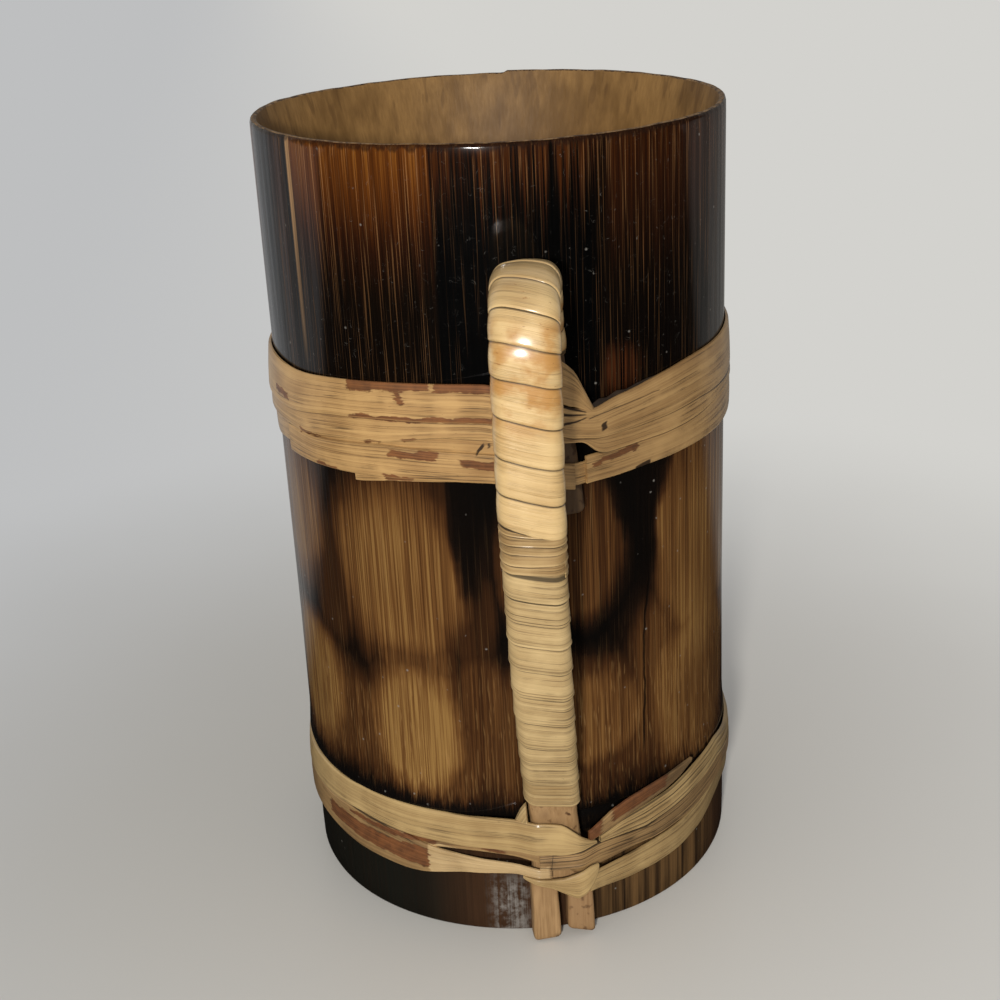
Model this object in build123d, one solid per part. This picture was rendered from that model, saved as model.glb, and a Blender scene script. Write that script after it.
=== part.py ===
from build123d import *
import os
from math import atan2, ceil, cos, degrees, pi, radians, sin, sqrt, tan

os.makedirs("parts", exist_ok=True)

# Bamboo cup with a bent and wound side handle, lashed on by two bands of split bamboo.
# Millimetres. The origin is the centre of the round foot, +Z is up and the handle stands towards -Y.
# Angles round the cup are in degrees from -Y, and grow towards +X.

# Culm: one length of bamboo, cut just below a node, so that the node's wall is the cup's floor.
CULM_RADIUS = 40.0
CULM_HEIGHT = 140.0
FOOT_GROWTH = 0.2
WALL = 4.4
RIM_LIP = 1.2
RIM_BEVEL_HEIGHT = 13.0
FOOT_BEVEL = 0.5
SCAR_HEIGHT = 24.6
SCAR_RIDGE = 0.3
SCAR_GROOVE = 0.8
SCAR_WIDTH = 1.3
SCAR_SLOPE_HEIGHT = 5.0
FLOOR_HEIGHT = 21.0
FLOOR_THICK = 4.5
FLOOR_SAG = 1.2
FLOOR_CORNER = 3.0

# Lashing bands: strips of split bamboo, pulled taut round the culm and over a leg of the handle.
# The lower band ends where the handle leaves the wall. The steps round the cup are in degrees.
BAND_THICK = 0.8
BAND_CLEAR = 0.3
BAND_LAYER = 1.05
BAND_HEIGHT = 20.0
LOWER_BAND_FOOT = 8.0
ROUND_STEP = 7.5
LEG_STEP = 1.0

# Handle core: a split of culm wall, bent to a hook and slit at its lower end into two prongs.
CORE_WIDTH = 9.0
CORE_WAIST_WIDTH = 8.2
CORE_FOOT_WIDTH = 11.1
CORE_THICK = 3.6
CORE_CHAMFER = 1.0
CORE_CLEAR = 0.2
CORE_FOOT_GAP = 0.4
CORE_STEP = 2.4
HANDLE_REACH = 19.8
ARCH_BELOW_RIM = 17.7
ARCH_STANDS_OFF = 1.5
INNER_LEG_DROP = 5.55
INNER_LEG_OVERHANG = 3.2
TIE_CLEAR = 0.2
SLIT_HEIGHT = 12.6
SLIT_FOOT_WIDTH = 1.7
FOOT_FLARE_HEIGHT = 26.0
# Where the outer leg bows and where its grip starts, and how much of the shorter run each bend takes.
BOW_REACH_SHARE = 0.56
BOW_RISE_SHARE = 0.305
GRIP_RISE_SHARE = 0.705
LEAVES_BEND_SHARE = 0.3
BOW_BEND_SHARE = 0.35
GRIP_BEND_SHARE = 0.49
LANDING_BEND_SHARE = 0.35
# How far the core lies to the +X side of the cup's axis: at its foot, outer leg and grip, then where
# its short leg starts under the arch, and at the end of that leg, which slants down the wall.
FOOT_SIDESTEP = 0.9
LEG_SIDESTEP = -0.4
GRIP_SIDESTEP = -4.7
LANDING_SIDESTEP = -1.0
END_SIDESTEP = 2.1
# How far the grip is turned about its own run, in degrees.
GRIP_TURN = 13.0

# Winding of the handle: a strip laid on edge to edge, a rough join, and a wider strip above it.
STRIP_THICK = 0.6
STRIP_CLEAR = 0.15
STRIP_GAP = 0.62
LOWER_PITCH = 5.45
JOIN_PITCH = 3.1
UPPER_PITCH = 5.75
JOIN_LENGTH = 3.4
WINDING_CLEAR = 0.7
LOWER_WOUND_SHARE = 0.435

# Rows of the bands: angle, then the strip's lower and upper edge as shares of the band's height.
upper_inner_shares = [
    (-45, 0.015, 0.24), (-35, 0.07, 0.28), (-22, 0.105, 0.30), (-10, 0.145, 0.32), (0, 0.12, 0.30),
    (8, 0.09, 0.27), (31, 0.10, 0.325), (110, 0.125, 0.375), (180, 0.125, 0.40), (240, 0.10, 0.375),
    (277, 0.065, 0.36), (290, 0.13, 0.42), (305, 0.25, 0.48), (315, 0.30, 0.53), (326, 0.33, 0.56),
    (338, 0.35, 0.58), (350, 0.36, 0.60), (357, 0.345, 0.57),
]
upper_outer_shares = [
    (8.5, 0.10, 0.31), (21, 0.075, 0.28), (31, 0.07, 0.28), (45, 0.05, 0.31), (58, 0.09, 0.33),
    (110, 0.11, 0.38), (180, 0.13, 0.40), (240, 0.20, 0.43), (280, 0.295, 0.475), (295, 0.32, 0.51),
    (313, 0.38, 0.575), (326, 0.415, 0.60), (337, 0.48, 0.61), (350, 0.52, 0.635), (360, 0.43, 0.54),
    (370, 0.335, 0.43), (381, 0.305, 0.425), (391, 0.305, 0.43), (405, 0.335, 0.445), (418, 0.355, 0.465),
    (470, 0.405, 0.58), (540, 0.43, 0.69), (600, 0.46, 0.82), (640, 0.50, 0.855), (655, 0.535, 0.845),
    (673, 0.60, 0.87), (687, 0.625, 0.905), (699, 0.635, 0.93), (710, 0.66, 0.96), (720, 0.57, 0.83),
    (731, 0.46, 0.68), (736, 0.45, 0.725), (743, 0.45, 0.745), (751, 0.455, 0.79), (765, 0.47, 0.835),
    (781, 0.495, 0.87), (830, 0.61, 0.89), (880, 0.72, 0.88), (900, 0.745, 0.85),
]
upper_short_shares = [
    (-70, 0.065, 0.285), (-58, 0.07, 0.295), (-49, 0.09, 0.33), (-35, 0.10, 0.37), (-22, 0.125, 0.37),
    (-10, 0.15, 0.38), (0, 0.13, 0.33), (6, 0.11, 0.28),
]
upper_tie_shares = [
    (-4, 0.92, 1.08), (0, 0.76, 1.11), (4, 0.65, 1.12), (7, 0.64, 1.0), (9, 0.64, 0.83), (10.5, 0.64, 0.71),
]
lower_inner_shares = [
    (-60, 0.27, 0.53), (-25, 0.30, 0.55), (0, 0.32, 0.56), (30, 0.30, 0.56), (110, 0.28, 0.56),
    (180, 0.27, 0.55), (250, 0.26, 0.54), (290, 0.26, 0.53),
]
lower_top_shares = [
    (9.5, 0.56, 0.62), (16, 0.53, 0.65), (24, 0.495, 0.65), (33, 0.525, 0.69), (43, 0.59, 0.785),
    (60, 0.66, 0.85), (110, 0.59, 0.85), (180, 0.545, 0.84), (250, 0.54, 0.835), (287, 0.545, 0.835),
    (305, 0.57, 0.825), (324, 0.545, 0.82), (340, 0.545, 0.83), (351, 0.59, 0.885), (360, 0.58, 0.865),
    (362, 0.57, 0.83), (364.5, 0.575, 0.71), (368, 0.58, 0.61),
]
lower_middle_shares = [
    (-21, 0.48, 0.525), (-14, 0.495, 0.55), (-9, 0.505, 0.57), (-3, 0.435, 0.56), (3, 0.39, 0.54),
    (9, 0.40, 0.54), (18, 0.355, 0.505), (27, 0.325, 0.465), (36, 0.355, 0.50), (48, 0.41, 0.565),
    (60, 0.45, 0.635), (110, 0.325, 0.565), (180, 0.23, 0.52), (250, 0.22, 0.515), (290, 0.23, 0.505),
    (305, 0.18, 0.53), (314, 0.175, 0.53), (321, 0.155, 0.505), (326, 0.165, 0.46), (331, 0.20, 0.43),
    (337, 0.25, 0.415), (342, 0.275, 0.41), (351, 0.345, 0.435), (358, 0.325, 0.405),
]
lower_bottom_shares = [
    (9.4, 0.09, 0.265), (18, 0.035, 0.26), (27, 0.015, 0.265), (36, 0.04, 0.29), (46, 0.085, 0.35),
    (60, 0.11, 0.37), (110, 0.07, 0.30), (180, 0.03, 0.205), (230, 0.05, 0.195), (250, 0.08, 0.18),
]
lower_fold_shares = [
    (-8, 0.30, 0.33), (-2, 0.225, 0.295), (0, 0.175, 0.29), (3, 0.105, 0.305), (4, 0.08, 0.33),
    (6, 0.14, 0.37), (8.6, 0.30, 0.35),
]
loose_end_shares = [
    (8.5, 0.65, 0.75), (12, 0.66, 0.79), (16, 0.67, 0.83), (24, 0.67, 0.87), (32, 0.71, 0.885),
    (38, 0.78, 0.915), (41, 0.88, 0.93),
]
wrap_tail_shares = [(-10, 0.62, 0.86), (-9, 0.63, 0.93), (-8, 0.66, 1.0), (-7, 0.80, 1.08)]


def make_culm():
    """The wall, rim, node and floor, turned in one piece: the floor grew in the culm."""
    inner = CULM_RADIUS - WALL
    scar_foot = SCAR_HEIGHT - SCAR_WIDTH
    outline = Polyline(
        (FOOT_RADIUS - FOOT_BEVEL, 0),
        (FOOT_RADIUS, FOOT_BEVEL),
        (FOOT_RADIUS, scar_foot - SCAR_SLOPE_HEIGHT),
        (CULM_RADIUS - SCAR_GROOVE, scar_foot),
        (CULM_RADIUS + SCAR_RIDGE, SCAR_HEIGHT),
        (CULM_RADIUS, SCAR_HEIGHT + SCAR_SLOPE_HEIGHT),
        (CULM_RADIUS, CULM_HEIGHT),
        (CULM_RADIUS - RIM_LIP, CULM_HEIGHT),
        (inner, CULM_HEIGHT - RIM_BEVEL_HEIGHT),
        (inner, FLOOR_HEIGHT + FLOOR_CORNER),
        (inner - FLOOR_CORNER, FLOOR_HEIGHT),
        (0, FLOOR_HEIGHT - FLOOR_SAG),
        (0, FLOOR_HEIGHT - FLOOR_SAG - FLOOR_THICK),
        (inner, FLOOR_HEIGHT - FLOOR_THICK),
        (inner, 0),
        close=True,
    )
    return revolve(make_face(Plane.XZ * outline), Axis.Z)


def bent_line(points, shares):
    """A line through points as (distance from the cup's axis, height), with its inner corners bent round."""
    radii = []
    for before, at, after, share in zip(points, points[1:], points[2:], shares):
        runs = [Vector(*at) - Vector(*before), Vector(*after) - Vector(*at)]
        turn = radians(runs[0].get_angle(runs[1]))
        radii.append(share * min(run.length for run in runs) / tan(turn / 2))
    return FilletPolyline(*points, radius=radii)


FOOT_RADIUS = CULM_RADIUS + FOOT_GROWTH
LEG_RADIUS = FOOT_RADIUS + CORE_CLEAR + CORE_THICK / 2
GRIP_RADIUS = LEG_RADIUS + HANDLE_REACH
ARCH_END_RADIUS = LEG_RADIUS + ARCH_STANDS_OFF
ARCH_TOP = CULM_HEIGHT - ARCH_BELOW_RIM
ARCH_FOOT = ARCH_TOP - (GRIP_RADIUS - ARCH_END_RADIUS) / 2
LEAVES_WALL = LOWER_BAND_FOOT + BAND_HEIGHT
LANDING = ARCH_FOOT - INNER_LEG_DROP
UPPER_BAND_FOOT = LANDING - TIE_CLEAR - BAND_HEIGHT * max(high for _, _, high in upper_tie_shares)
INNER_LEG_END = UPPER_BAND_FOOT - INNER_LEG_OVERHANG
BOW_RADIUS = LEG_RADIUS + BOW_REACH_SHARE * HANDLE_REACH
BOW_HEIGHT = LEAVES_WALL + BOW_RISE_SHARE * (ARCH_FOOT - LEAVES_WALL)
GRIP_HEIGHT = LEAVES_WALL + GRIP_RISE_SHARE * (ARCH_FOOT - LEAVES_WALL)
RISE = bent_line(
    [
        (LEG_RADIUS, CORE_FOOT_GAP),
        (LEG_RADIUS, LEAVES_WALL),
        (BOW_RADIUS, BOW_HEIGHT),
        (GRIP_RADIUS, GRIP_HEIGHT),
        (GRIP_RADIUS, ARCH_FOOT),
    ],
    [LEAVES_BEND_SHARE, BOW_BEND_SHARE, GRIP_BEND_SHARE],
)
ARCH = ThreePointArc(
    (GRIP_RADIUS, ARCH_FOOT), ((GRIP_RADIUS + ARCH_END_RADIUS) / 2, ARCH_TOP), (ARCH_END_RADIUS, ARCH_FOOT)
)
FALL = bent_line(
    [(ARCH_END_RADIUS, ARCH_FOOT), (LEG_RADIUS, LANDING), (LEG_RADIUS, INNER_LEG_END)],
    [LANDING_BEND_SHARE],
)
CORE_LINE = Wire([*RISE.edges(), *ARCH.edges(), *FALL.edges()])
ARCH_START = RISE.length
ARCH_END = RISE.length + ARCH.length
CORE_LENGTH = CORE_LINE.length


def inner_leg_side(height):
    """How far the short leg lies to the +X side at a height: it slants from the arch to its end."""
    fallen = min(1, max(0, (ARCH_FOOT - height) / (ARCH_FOOT - INNER_LEG_END)))
    return LANDING_SIDESTEP + (END_SIDESTEP - LANDING_SIDESTEP) * fallen


def core_place(along):
    """A point of the core's centre line, at a length from the prongs, and its share of the reach."""
    flat = CORE_LINE.position_at(along, position_mode=PositionMode.LENGTH)
    reach_share = (flat.X - LEG_RADIUS) / HANDLE_REACH
    if along > ARCH_START:
        start = inner_leg_side(flat.Y)
    else:
        start = LEG_SIDESTEP + (FOOT_SIDESTEP - LEG_SIDESTEP) * max(0, 1 - flat.Y / LEAVES_WALL)
    side = start + (GRIP_SIDESTEP - start) * reach_share
    return Vector(side, -flat.X, flat.Y), reach_share


def core_frame(along):
    """Centre, width direction and outward direction of the core at a length from the prongs."""
    probe = CORE_THICK / 10
    centre, reach_share = core_place(along)
    before = core_place(max(0, along - probe))[0]
    after = core_place(min(CORE_LENGTH, along + probe))[0]
    run = (after - before).normalized()
    turn = radians(GRIP_TURN * reach_share)
    across = Vector(cos(turn), -sin(turn), 0)
    across = (across - run * across.dot(run)).normalized()
    return centre, across, across.cross(run)


def core_width(along):
    """The core is widest at its prongs, narrowest where it leaves the wall, and wider again at its top."""
    height = core_place(along)[0].Z
    if along < ARCH_START and height < FOOT_FLARE_HEIGHT:
        return CORE_FOOT_WIDTH + (CORE_WAIST_WIDTH - CORE_FOOT_WIDTH) * height / FOOT_FLARE_HEIGHT
    return CORE_WAIST_WIDTH + (CORE_WIDTH - CORE_WAIST_WIDTH) * min(1, along / ARCH_START)


def core_corner(corner, along, lift=0):
    """One of the eight corners of the core's section, lifted off both its faces, and the way out there."""
    centre, across, outward = core_frame(along)
    half_width, half_thick = core_width(along) / 2, CORE_THICK / 2
    cut_width, cut_thick = half_width - CORE_CHAMFER, half_thick - CORE_CHAMFER
    x, y = [(half_width, cut_thick), (cut_width, half_thick)][corner % 2 ^ (corner // 2 % 2)]
    x *= 1 if corner in (0, 1, 6, 7) else -1
    y *= 1 if corner < 4 else -1
    turn = pi / 8 + pi / 4 * corner
    way = (across * cos(turn) + outward * sin(turn)) / cos(pi / 8)
    return centre + across * x + outward * y + way * lift, way


def facets_through(outlines):
    """A solid of flat facets through outlines, each given by its corners, and split so as to lie within."""
    faces = [Face(Wire.make_polygon(outline, close=True)) for outline in (outlines[0], outlines[-1])]
    for before, after in zip(outlines, outlines[1:]):
        middle = sum([*before, *after], Vector()) / (len(before) + len(after))
        for k, a in enumerate(before):
            b, c, d = before[k - 1], after[k - 1], after[k]
            facets = [(a, b, d), (b, c, d)]
            if ((a + c) / 2 - middle).length < ((b + d) / 2 - middle).length:
                facets = [(a, b, c), (a, c, d)]
            faces += [Face(Wire.make_polygon(facet, close=True)) for facet in facets]
    return Solid(Shell(faces))


def core_stops():
    """Lengths along the core of its cross-sections: close together on the arch."""
    stops = [0]
    for end, step in ((ARCH_START, 2 * CORE_STEP), (ARCH_END, CORE_STEP), (CORE_LENGTH, 2 * CORE_STEP)):
        start = stops[-1]
        count = ceil((end - start) / step)
        stops += [start + (end - start) * k / count for k in range(1, count + 1)]
    return stops


def make_core():
    """The bent split, lofted along its line, with the slit that parts its lower end into two prongs."""
    core = facets_through([[core_corner(k, along)[0] for k in range(8)] for along in core_stops()])
    slit = Polyline(
        (core_place(SLIT_HEIGHT)[0].X, SLIT_HEIGHT),
        (FOOT_SIDESTEP - SLIT_FOOT_WIDTH / 2, 0),
        (FOOT_SIDESTEP + SLIT_FOOT_WIDTH / 2, 0),
        close=True,
    )
    return core - extrude(make_face(Plane.XZ * slit), FOOT_RADIUS + HANDLE_REACH)


def strip_outline(base, thick_way, wide_way, low, high):
    """The four corners of a flat strip's cross-section."""
    lower, upper = base + wide_way * low, base + wide_way * high
    return [lower, upper, upper + thick_way, lower + thick_way]


def print_gap(name, pairs):
    """Prints the least distance between the facing edges of a strip and its own next turn."""
    least = min((low - high).length for low, high in pairs)
    print(f"{name}: least gap to itself {least:.2f} mm")


def turn_shares():
    """The share of a turn from each of the core's corners to the next."""
    chamfer = CORE_CHAMFER * sqrt(2)
    runs = [chamfer, CORE_WIDTH - 2 * CORE_CHAMFER, chamfer, CORE_THICK - 2 * CORE_CHAMFER] * 2
    return [run / sum(runs) for run in runs]


def winding_run(start, end, pitch):
    """Lengths along the core of a winding's corners, even on its outer face, with a turn more at each end."""
    shares = turn_shares()
    alongs = [start - pitch]
    while alongs[-1] < end + 2 * pitch:
        below, above = (core_corner(1, alongs[-1] + half)[0] for half in (-pitch / 2, pitch / 2))
        alongs.append(alongs[-1] + shares[(len(alongs) - 1) % 8] * pitch * pitch / (above - below).length)
    return alongs


def make_winding(name, start, end, pitch):
    """One unbroken strip, wound up the core, as wide at each corner as its neighbour turns leave it room."""
    alongs = winding_run(start, end, pitch)
    outlines = []
    for k in range(8, len(alongs) - 8):
        if alongs[k] > end:
            break
        below, above = (alongs[k - 8] + alongs[k]) / 2, (alongs[k] + alongs[k + 8]) / 2
        low, high = (core_corner(k % 8, along, STRIP_CLEAR)[0] for along in (below, above))
        tops = [core_corner(k % 8, along, STRIP_CLEAR + STRIP_THICK)[0] for along in (below, above)]
        width = min((high - low).length, (tops[1] - tops[0]).length) - STRIP_GAP
        skin, way = core_corner(k % 8, alongs[k], STRIP_CLEAR)
        middle = (low + high) / 2
        middle += way.normalized() * max(0, (skin - middle).dot(way.normalized()))
        run = (high - low).normalized()
        outlines.append(strip_outline(middle, way * STRIP_THICK, run, -width / 2, width / 2))
    loops = zip(outlines, outlines[8:])
    print_gap(name, [pair for a, b in loops for pair in ((b[0], a[1]), (b[3], a[2]))])
    return facets_through(outlines), alongs[k - 1]


def leg_corners(side, width):
    """Corners of the outer side, of a leg of the core that lies on the wall."""
    out = LEG_RADIUS + CORE_THICK / 2
    corners = []
    for way in (-1, 1):
        corners.append((side + way * width / 2, CORE_CHAMFER - out))
        corners.append((side + way * (width / 2 - CORE_CHAMFER), -out))
    return corners


def taut_place(angle, wall, corners, lift):
    """Where a strip pulled taut round the wall and a leg lies at an angle, and its way out from there."""
    def distance(way):
        reach = max([wall] + [x * sin(way) - y * cos(way) for x, y in corners])
        return (reach + lift) / cos(way - radians(angle))

    facing = min((radians(angle + step / 2) for step in range(-160, 161)), key=distance)
    turn = radians(angle)
    return Vector(sin(turn), -cos(turn), 0) * distance(facing), Vector(sin(facing), -cos(facing), 0)


def band_angles(start, end, corners):
    """Angles of a strip's cross-sections: close together over the leg's edges, wider elsewhere."""
    edges = [degrees(atan2(x, -y)) for x, y in (min(corners), max(corners))]
    middle = sum(edges) / 2
    close = [edge + LEG_STEP * k for edge in edges for k in (-2, -1, 0, 1, 2)]
    close += [middle + ROUND_STEP * k for k in (-2, 0, 2)]
    count = ceil((end - start) / ROUND_STEP)
    angles = [start + (end - start) * k / count for k in range(1, count)]
    near = 2 * ROUND_STEP + LEG_STEP
    angles = [angle for angle in angles if abs((angle - middle + 180) % 360 - 180) > near]
    angles += [angle + 360 * lap for lap in range(4) for angle in close]
    return [start, *sorted(a for a in angles if start + LEG_STEP / 2 < a < end - LEG_STEP / 2), end]


def between(shares, angle):
    """The edges' shares at an angle, from the rows on each side of it."""
    for (a, low_a, high_a), (b, low_b, high_b) in zip(shares, shares[1:]):
        if a <= angle <= b:
            t = (angle - a) / (b - a)
            return low_a + (low_b - low_a) * t, high_a + (high_b - high_a) * t


def make_band(name, shares, foot, wall, corners, lift):
    """One strip of a lashing band, through the rows of its table."""
    outlines, overlaps = [], []
    start, end = shares[0][0], shares[-1][0]
    up = Vector(0, 0, BAND_HEIGHT)
    for angle in band_angles(start, end, corners):
        low, high = between(shares, angle)
        base, way = taut_place(angle, wall, corners, lift)
        outlines.append(strip_outline(base + Vector(0, 0, foot), way * BAND_THICK, up, low, high))
        if angle + 360 <= end:
            above = between(shares, angle + 360)[0]
            overlaps.append((base + up * above, base + up * high))
    if overlaps:
        print_gap(name, overlaps)
    return Solid.make_loft([Wire.make_polygon(outline, close=True) for outline in outlines], ruled=True)


parts = {}
parts["cup_culm"] = make_culm()
parts["handle_core"] = make_core()

wound_start = LEAVES_WALL + WINDING_CLEAR + LOWER_PITCH / 2
wound_end = ARCH_END + INNER_LEG_DROP - UPPER_PITCH / 2
lower_end = wound_start + LOWER_WOUND_SHARE * (wound_end - wound_start)
parts["handle_wrap_lower"], reached = make_winding("handle_wrap_lower", wound_start, lower_end, LOWER_PITCH)
join_start = reached + (LOWER_PITCH + JOIN_PITCH) / 2
parts["handle_wrap_join"], reached = make_winding(
    "handle_wrap_join", join_start, join_start + JOIN_LENGTH, JOIN_PITCH
)
upper_start = reached + (JOIN_PITCH + UPPER_PITCH) / 2
parts["handle_wrap_upper"], reached = make_winding("handle_wrap_upper", upper_start, wound_end, UPPER_PITCH)

upper_leg = []
for height in (UPPER_BAND_FOOT, UPPER_BAND_FOOT + BAND_HEIGHT):
    upper_leg += leg_corners(inner_leg_side(height), CORE_WIDTH)
upper = (UPPER_BAND_FOOT, CULM_RADIUS, upper_leg)
lower_side = (FOOT_SIDESTEP + LEG_SIDESTEP) / 2
lower = (LOWER_BAND_FOOT, FOOT_RADIUS, leg_corners(lower_side, core_width(LOWER_BAND_FOOT)))
under = BAND_CLEAR
over = BAND_CLEAR + BAND_LAYER
bands = [
    ("upper_band_inner", upper_inner_shares, upper, under),
    ("upper_band_outer", upper_outer_shares, upper, over),
    ("upper_band_short", upper_short_shares, upper, over),
    ("upper_tie", upper_tie_shares, upper, under),
    ("lower_band_inner", lower_inner_shares, lower, under),
    ("lower_band_top", lower_top_shares, lower, over),
    ("lower_band_middle", lower_middle_shares, lower, over),
    ("lower_band_bottom", lower_bottom_shares, lower, over),
    ("lower_band_fold", lower_fold_shares, lower, over),
    ("lower_loose_end", loose_end_shares, lower, over),
    ("wrap_tail", wrap_tail_shares, lower, under),
]
for name, shares, place, lift in bands:
    parts[name] = make_band(name, shares, *place, lift)

for name, shape in parts.items():
    export_step(shape, f"parts/{name}.step")
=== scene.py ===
import math

import bpy
import numpy as np
from mathutils import Matrix, Vector


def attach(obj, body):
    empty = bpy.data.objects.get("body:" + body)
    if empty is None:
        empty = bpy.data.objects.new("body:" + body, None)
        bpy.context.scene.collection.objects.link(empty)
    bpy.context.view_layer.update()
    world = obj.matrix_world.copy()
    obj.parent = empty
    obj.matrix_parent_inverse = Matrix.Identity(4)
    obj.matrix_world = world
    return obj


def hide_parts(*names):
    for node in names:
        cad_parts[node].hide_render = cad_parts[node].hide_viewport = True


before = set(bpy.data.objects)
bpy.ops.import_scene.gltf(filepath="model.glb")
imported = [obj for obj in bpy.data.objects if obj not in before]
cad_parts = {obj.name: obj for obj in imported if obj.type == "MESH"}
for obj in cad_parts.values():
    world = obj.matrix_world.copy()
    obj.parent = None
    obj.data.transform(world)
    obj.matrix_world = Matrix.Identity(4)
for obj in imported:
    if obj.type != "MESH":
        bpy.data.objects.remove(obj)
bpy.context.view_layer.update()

# Camera
# It stands close before the handle, a little to its left, and looks down on the cup, so that the
# mouth shows as a flat oval and the walls run together towards the floor.
camera_pitch = 0.39763
camera_roll = -0.049415
camera_yaw = -0.004388
camera_turn = math.radians(-8)
camera_place = Vector((0, -0.267243, 0.179283))

gaze = Vector(
    (
        math.sin(camera_yaw) * math.cos(camera_pitch),
        math.cos(camera_yaw) * math.cos(camera_pitch),
        -math.sin(camera_pitch),
    )
)
level = Vector((math.cos(camera_yaw), -math.sin(camera_yaw), 0))
upright = level.cross(gaze)
right_way = level * math.cos(camera_roll) + upright * math.sin(camera_roll)
up_way = upright * math.cos(camera_roll) - level * math.sin(camera_roll)
camera_lens = bpy.data.cameras.new("camera")
camera_lens.sensor_width = 36
camera_lens.lens = 55.8
camera_lens.clip_start = 0.01
camera = bpy.data.objects.new("camera", camera_lens)
bpy.context.collection.objects.link(camera)
camera_frame = Matrix((right_way, up_way, -gaze)).transposed().to_4x4()
camera_frame.translation = camera_place
camera.matrix_world = Matrix.Rotation(camera_turn, 4, "Z") @ camera_frame
bpy.context.scene.camera = camera
bpy.context.scene.view_settings.view_transform = "Standard"


# Floor and light
# A smooth, pale, slightly shiny table top that runs out of sight. A small lamp over the camera's
# left shoulder lights the cup, and a pale room fills the shadows and shows in what is glossy.
def tone(red, green, blue):
    """A colour as it looks on a screen, from 0 to 255, as the four numbers that a socket takes."""
    shares = [value / 255 for value in (red, green, blue)]
    return (*(s / 12.92 if s <= 0.04045 else ((s + 0.055) / 1.055) ** 2.4 for s in shares), 1)


class Shade:
    """A number, colour or direction in a material. Sums on it add the Math nodes that they need."""

    def __init__(self, tree, socket=None):
        self.tree = tree
        self.socket = socket

    def node(self, kind, settings, values, output=0):
        """Adds a node: its settings first, then the values or links of its sockets."""
        made = self.tree.nodes.new("ShaderNode" + kind)
        for name, value in settings.items():
            if name == "stops":
                for k, (place, colour) in enumerate(value):
                    held = made.color_ramp.elements
                    stop = held[k] if k < 2 else held.new(place)
                    stop.position = place
                    stop.color = colour
            else:
                setattr(made, name, value)
        for name, value in values.items():
            if isinstance(value, Shade):
                self.tree.links.new(value.socket, made.inputs[name])
            else:
                made.inputs[name].default_value = value
        return Shade(self.tree, made.outputs[output] if len(made.outputs) else None)

    def sum(self, operation, *values):
        return self.node("Math", {"operation": operation}, dict(enumerate(values)))

    def __add__(self, other):
        return self.sum("ADD", self, other)

    def __radd__(self, other):
        return self.sum("ADD", other, self)

    def __sub__(self, other):
        return self.sum("SUBTRACT", self, other)

    def __rsub__(self, other):
        return self.sum("SUBTRACT", other, self)

    def __mul__(self, other):
        return self.sum("MULTIPLY", self, other)

    def __rmul__(self, other):
        return self.sum("MULTIPLY", other, self)

    def __truediv__(self, other):
        return self.sum("DIVIDE", self, other)

    def __pow__(self, other):
        return self.sum("POWER", self, other)

    def __neg__(self):
        return self.sum("MULTIPLY", self, -1)

    def __abs__(self):
        return self.sum("ABSOLUTE", self)

    def parts(self):
        """The three numbers of a place or direction: to the right, to the back and up."""
        made = self.node("SeparateXYZ", {}, {0: self}).socket.node
        return [Shade(self.tree, socket) for socket in made.outputs]

    def noise(self, scale, detail, roughness=0.5, distortion=0.0):
        """Cloudy noise, read at this place."""
        values = {"Scale": scale, "Detail": detail, "Roughness": roughness, "Distortion": distortion}
        return self.node("TexNoise", {}, {"Vector": self, **values})

    def ease(self, low, high):
        """0 up to low, 1 from high, and a soft step between."""
        settings = {"interpolation_type": "SMOOTHSTEP"}
        return self.node("MapRange", settings, {0: self, 1: low, 2: high, 3: 0, 4: 1})

    def within(self, start, full_from, full_to, end):
        """1 between the two inner places, 0 beyond the outer ones, and a soft step between."""
        return self.ease(start, full_from) * self.ease(end, full_to)

    def over(self, *others):
        """The greatest of this and the others."""
        found = self
        for other in others:
            found = found.sum("MAXIMUM", found, other)
        return found

    def mix(self, first, second):
        """The first colour where this is 0, and the second where it is 1."""
        return self.node("Mix", {"data_type": "RGBA"}, {0: self, 6: first, 7: second}, 2)


def new_material(name):
    """An empty material, and a Shade that adds nodes to it."""
    material = bpy.data.materials.new(name)
    material.use_nodes = True
    material.node_tree.nodes.clear()
    return material, Shade(material.node_tree)


def surface(shade, colour, roughness, relief, varied=None, **plain):
    """Closes a material: what varies comes linked, what is the same all over is set on its socket."""
    bump = shade.node("Bump", {}, {"Strength": 1, "Distance": 0.001, "Height": relief})
    values = {"Base Color": colour, "Roughness": roughness, "Normal": bump, **(varied or {})}
    values.update({name.replace("_", " "): value for name, value in plain.items()})
    shade.node("OutputMaterial", {}, {"Surface": shade.node("BsdfPrincipled", {}, values)})


floor_mesh = bpy.data.meshes.new("floor")
floor_mesh.from_pydata([(-6, -6, 0), (6, -6, 0), (6, 6, 0), (-6, 6, 0)], [], [(0, 1, 2, 3)])
floor = bpy.data.objects.new("floor", floor_mesh)
bpy.context.collection.objects.link(floor)
floor_material, shade = new_material("pale_table")
spot = shade.node("TexCoord", {}, {}, "Object")
away = shade.node("VectorMath", {"operation": "LENGTH"}, {0: spot}, "Value")
rightward, backward, _ = spot.parts()
cloud = spot.noise(9.0, 3.0)
# Painted light: the table and its haze are lighter towards the right.
painted_side_light = rightward.ease(-0.16, 0.16)
table_colour = painted_side_light.mix(tone(206, 204, 197), tone(238, 235, 227))
table_top = shade.node(
    "BsdfPrincipled",
    {},
    {"Base Color": table_colour, "Roughness": 0.32 + cloud * 0.06, "Specular IOR Level": 0.3},
)


def ray_masks(shade):
    """1 for the rays that mirror this, and 1 for all the rays that show it but don't light by it."""
    kinds = ("Is Camera Ray", "Is Glossy Ray", "Is Transmission Ray")
    straight, mirrored, through = (shade.node("LightPath", {}, {}, kind) for kind in kinds)
    return mirrored, straight.over(mirrored, through)


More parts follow.
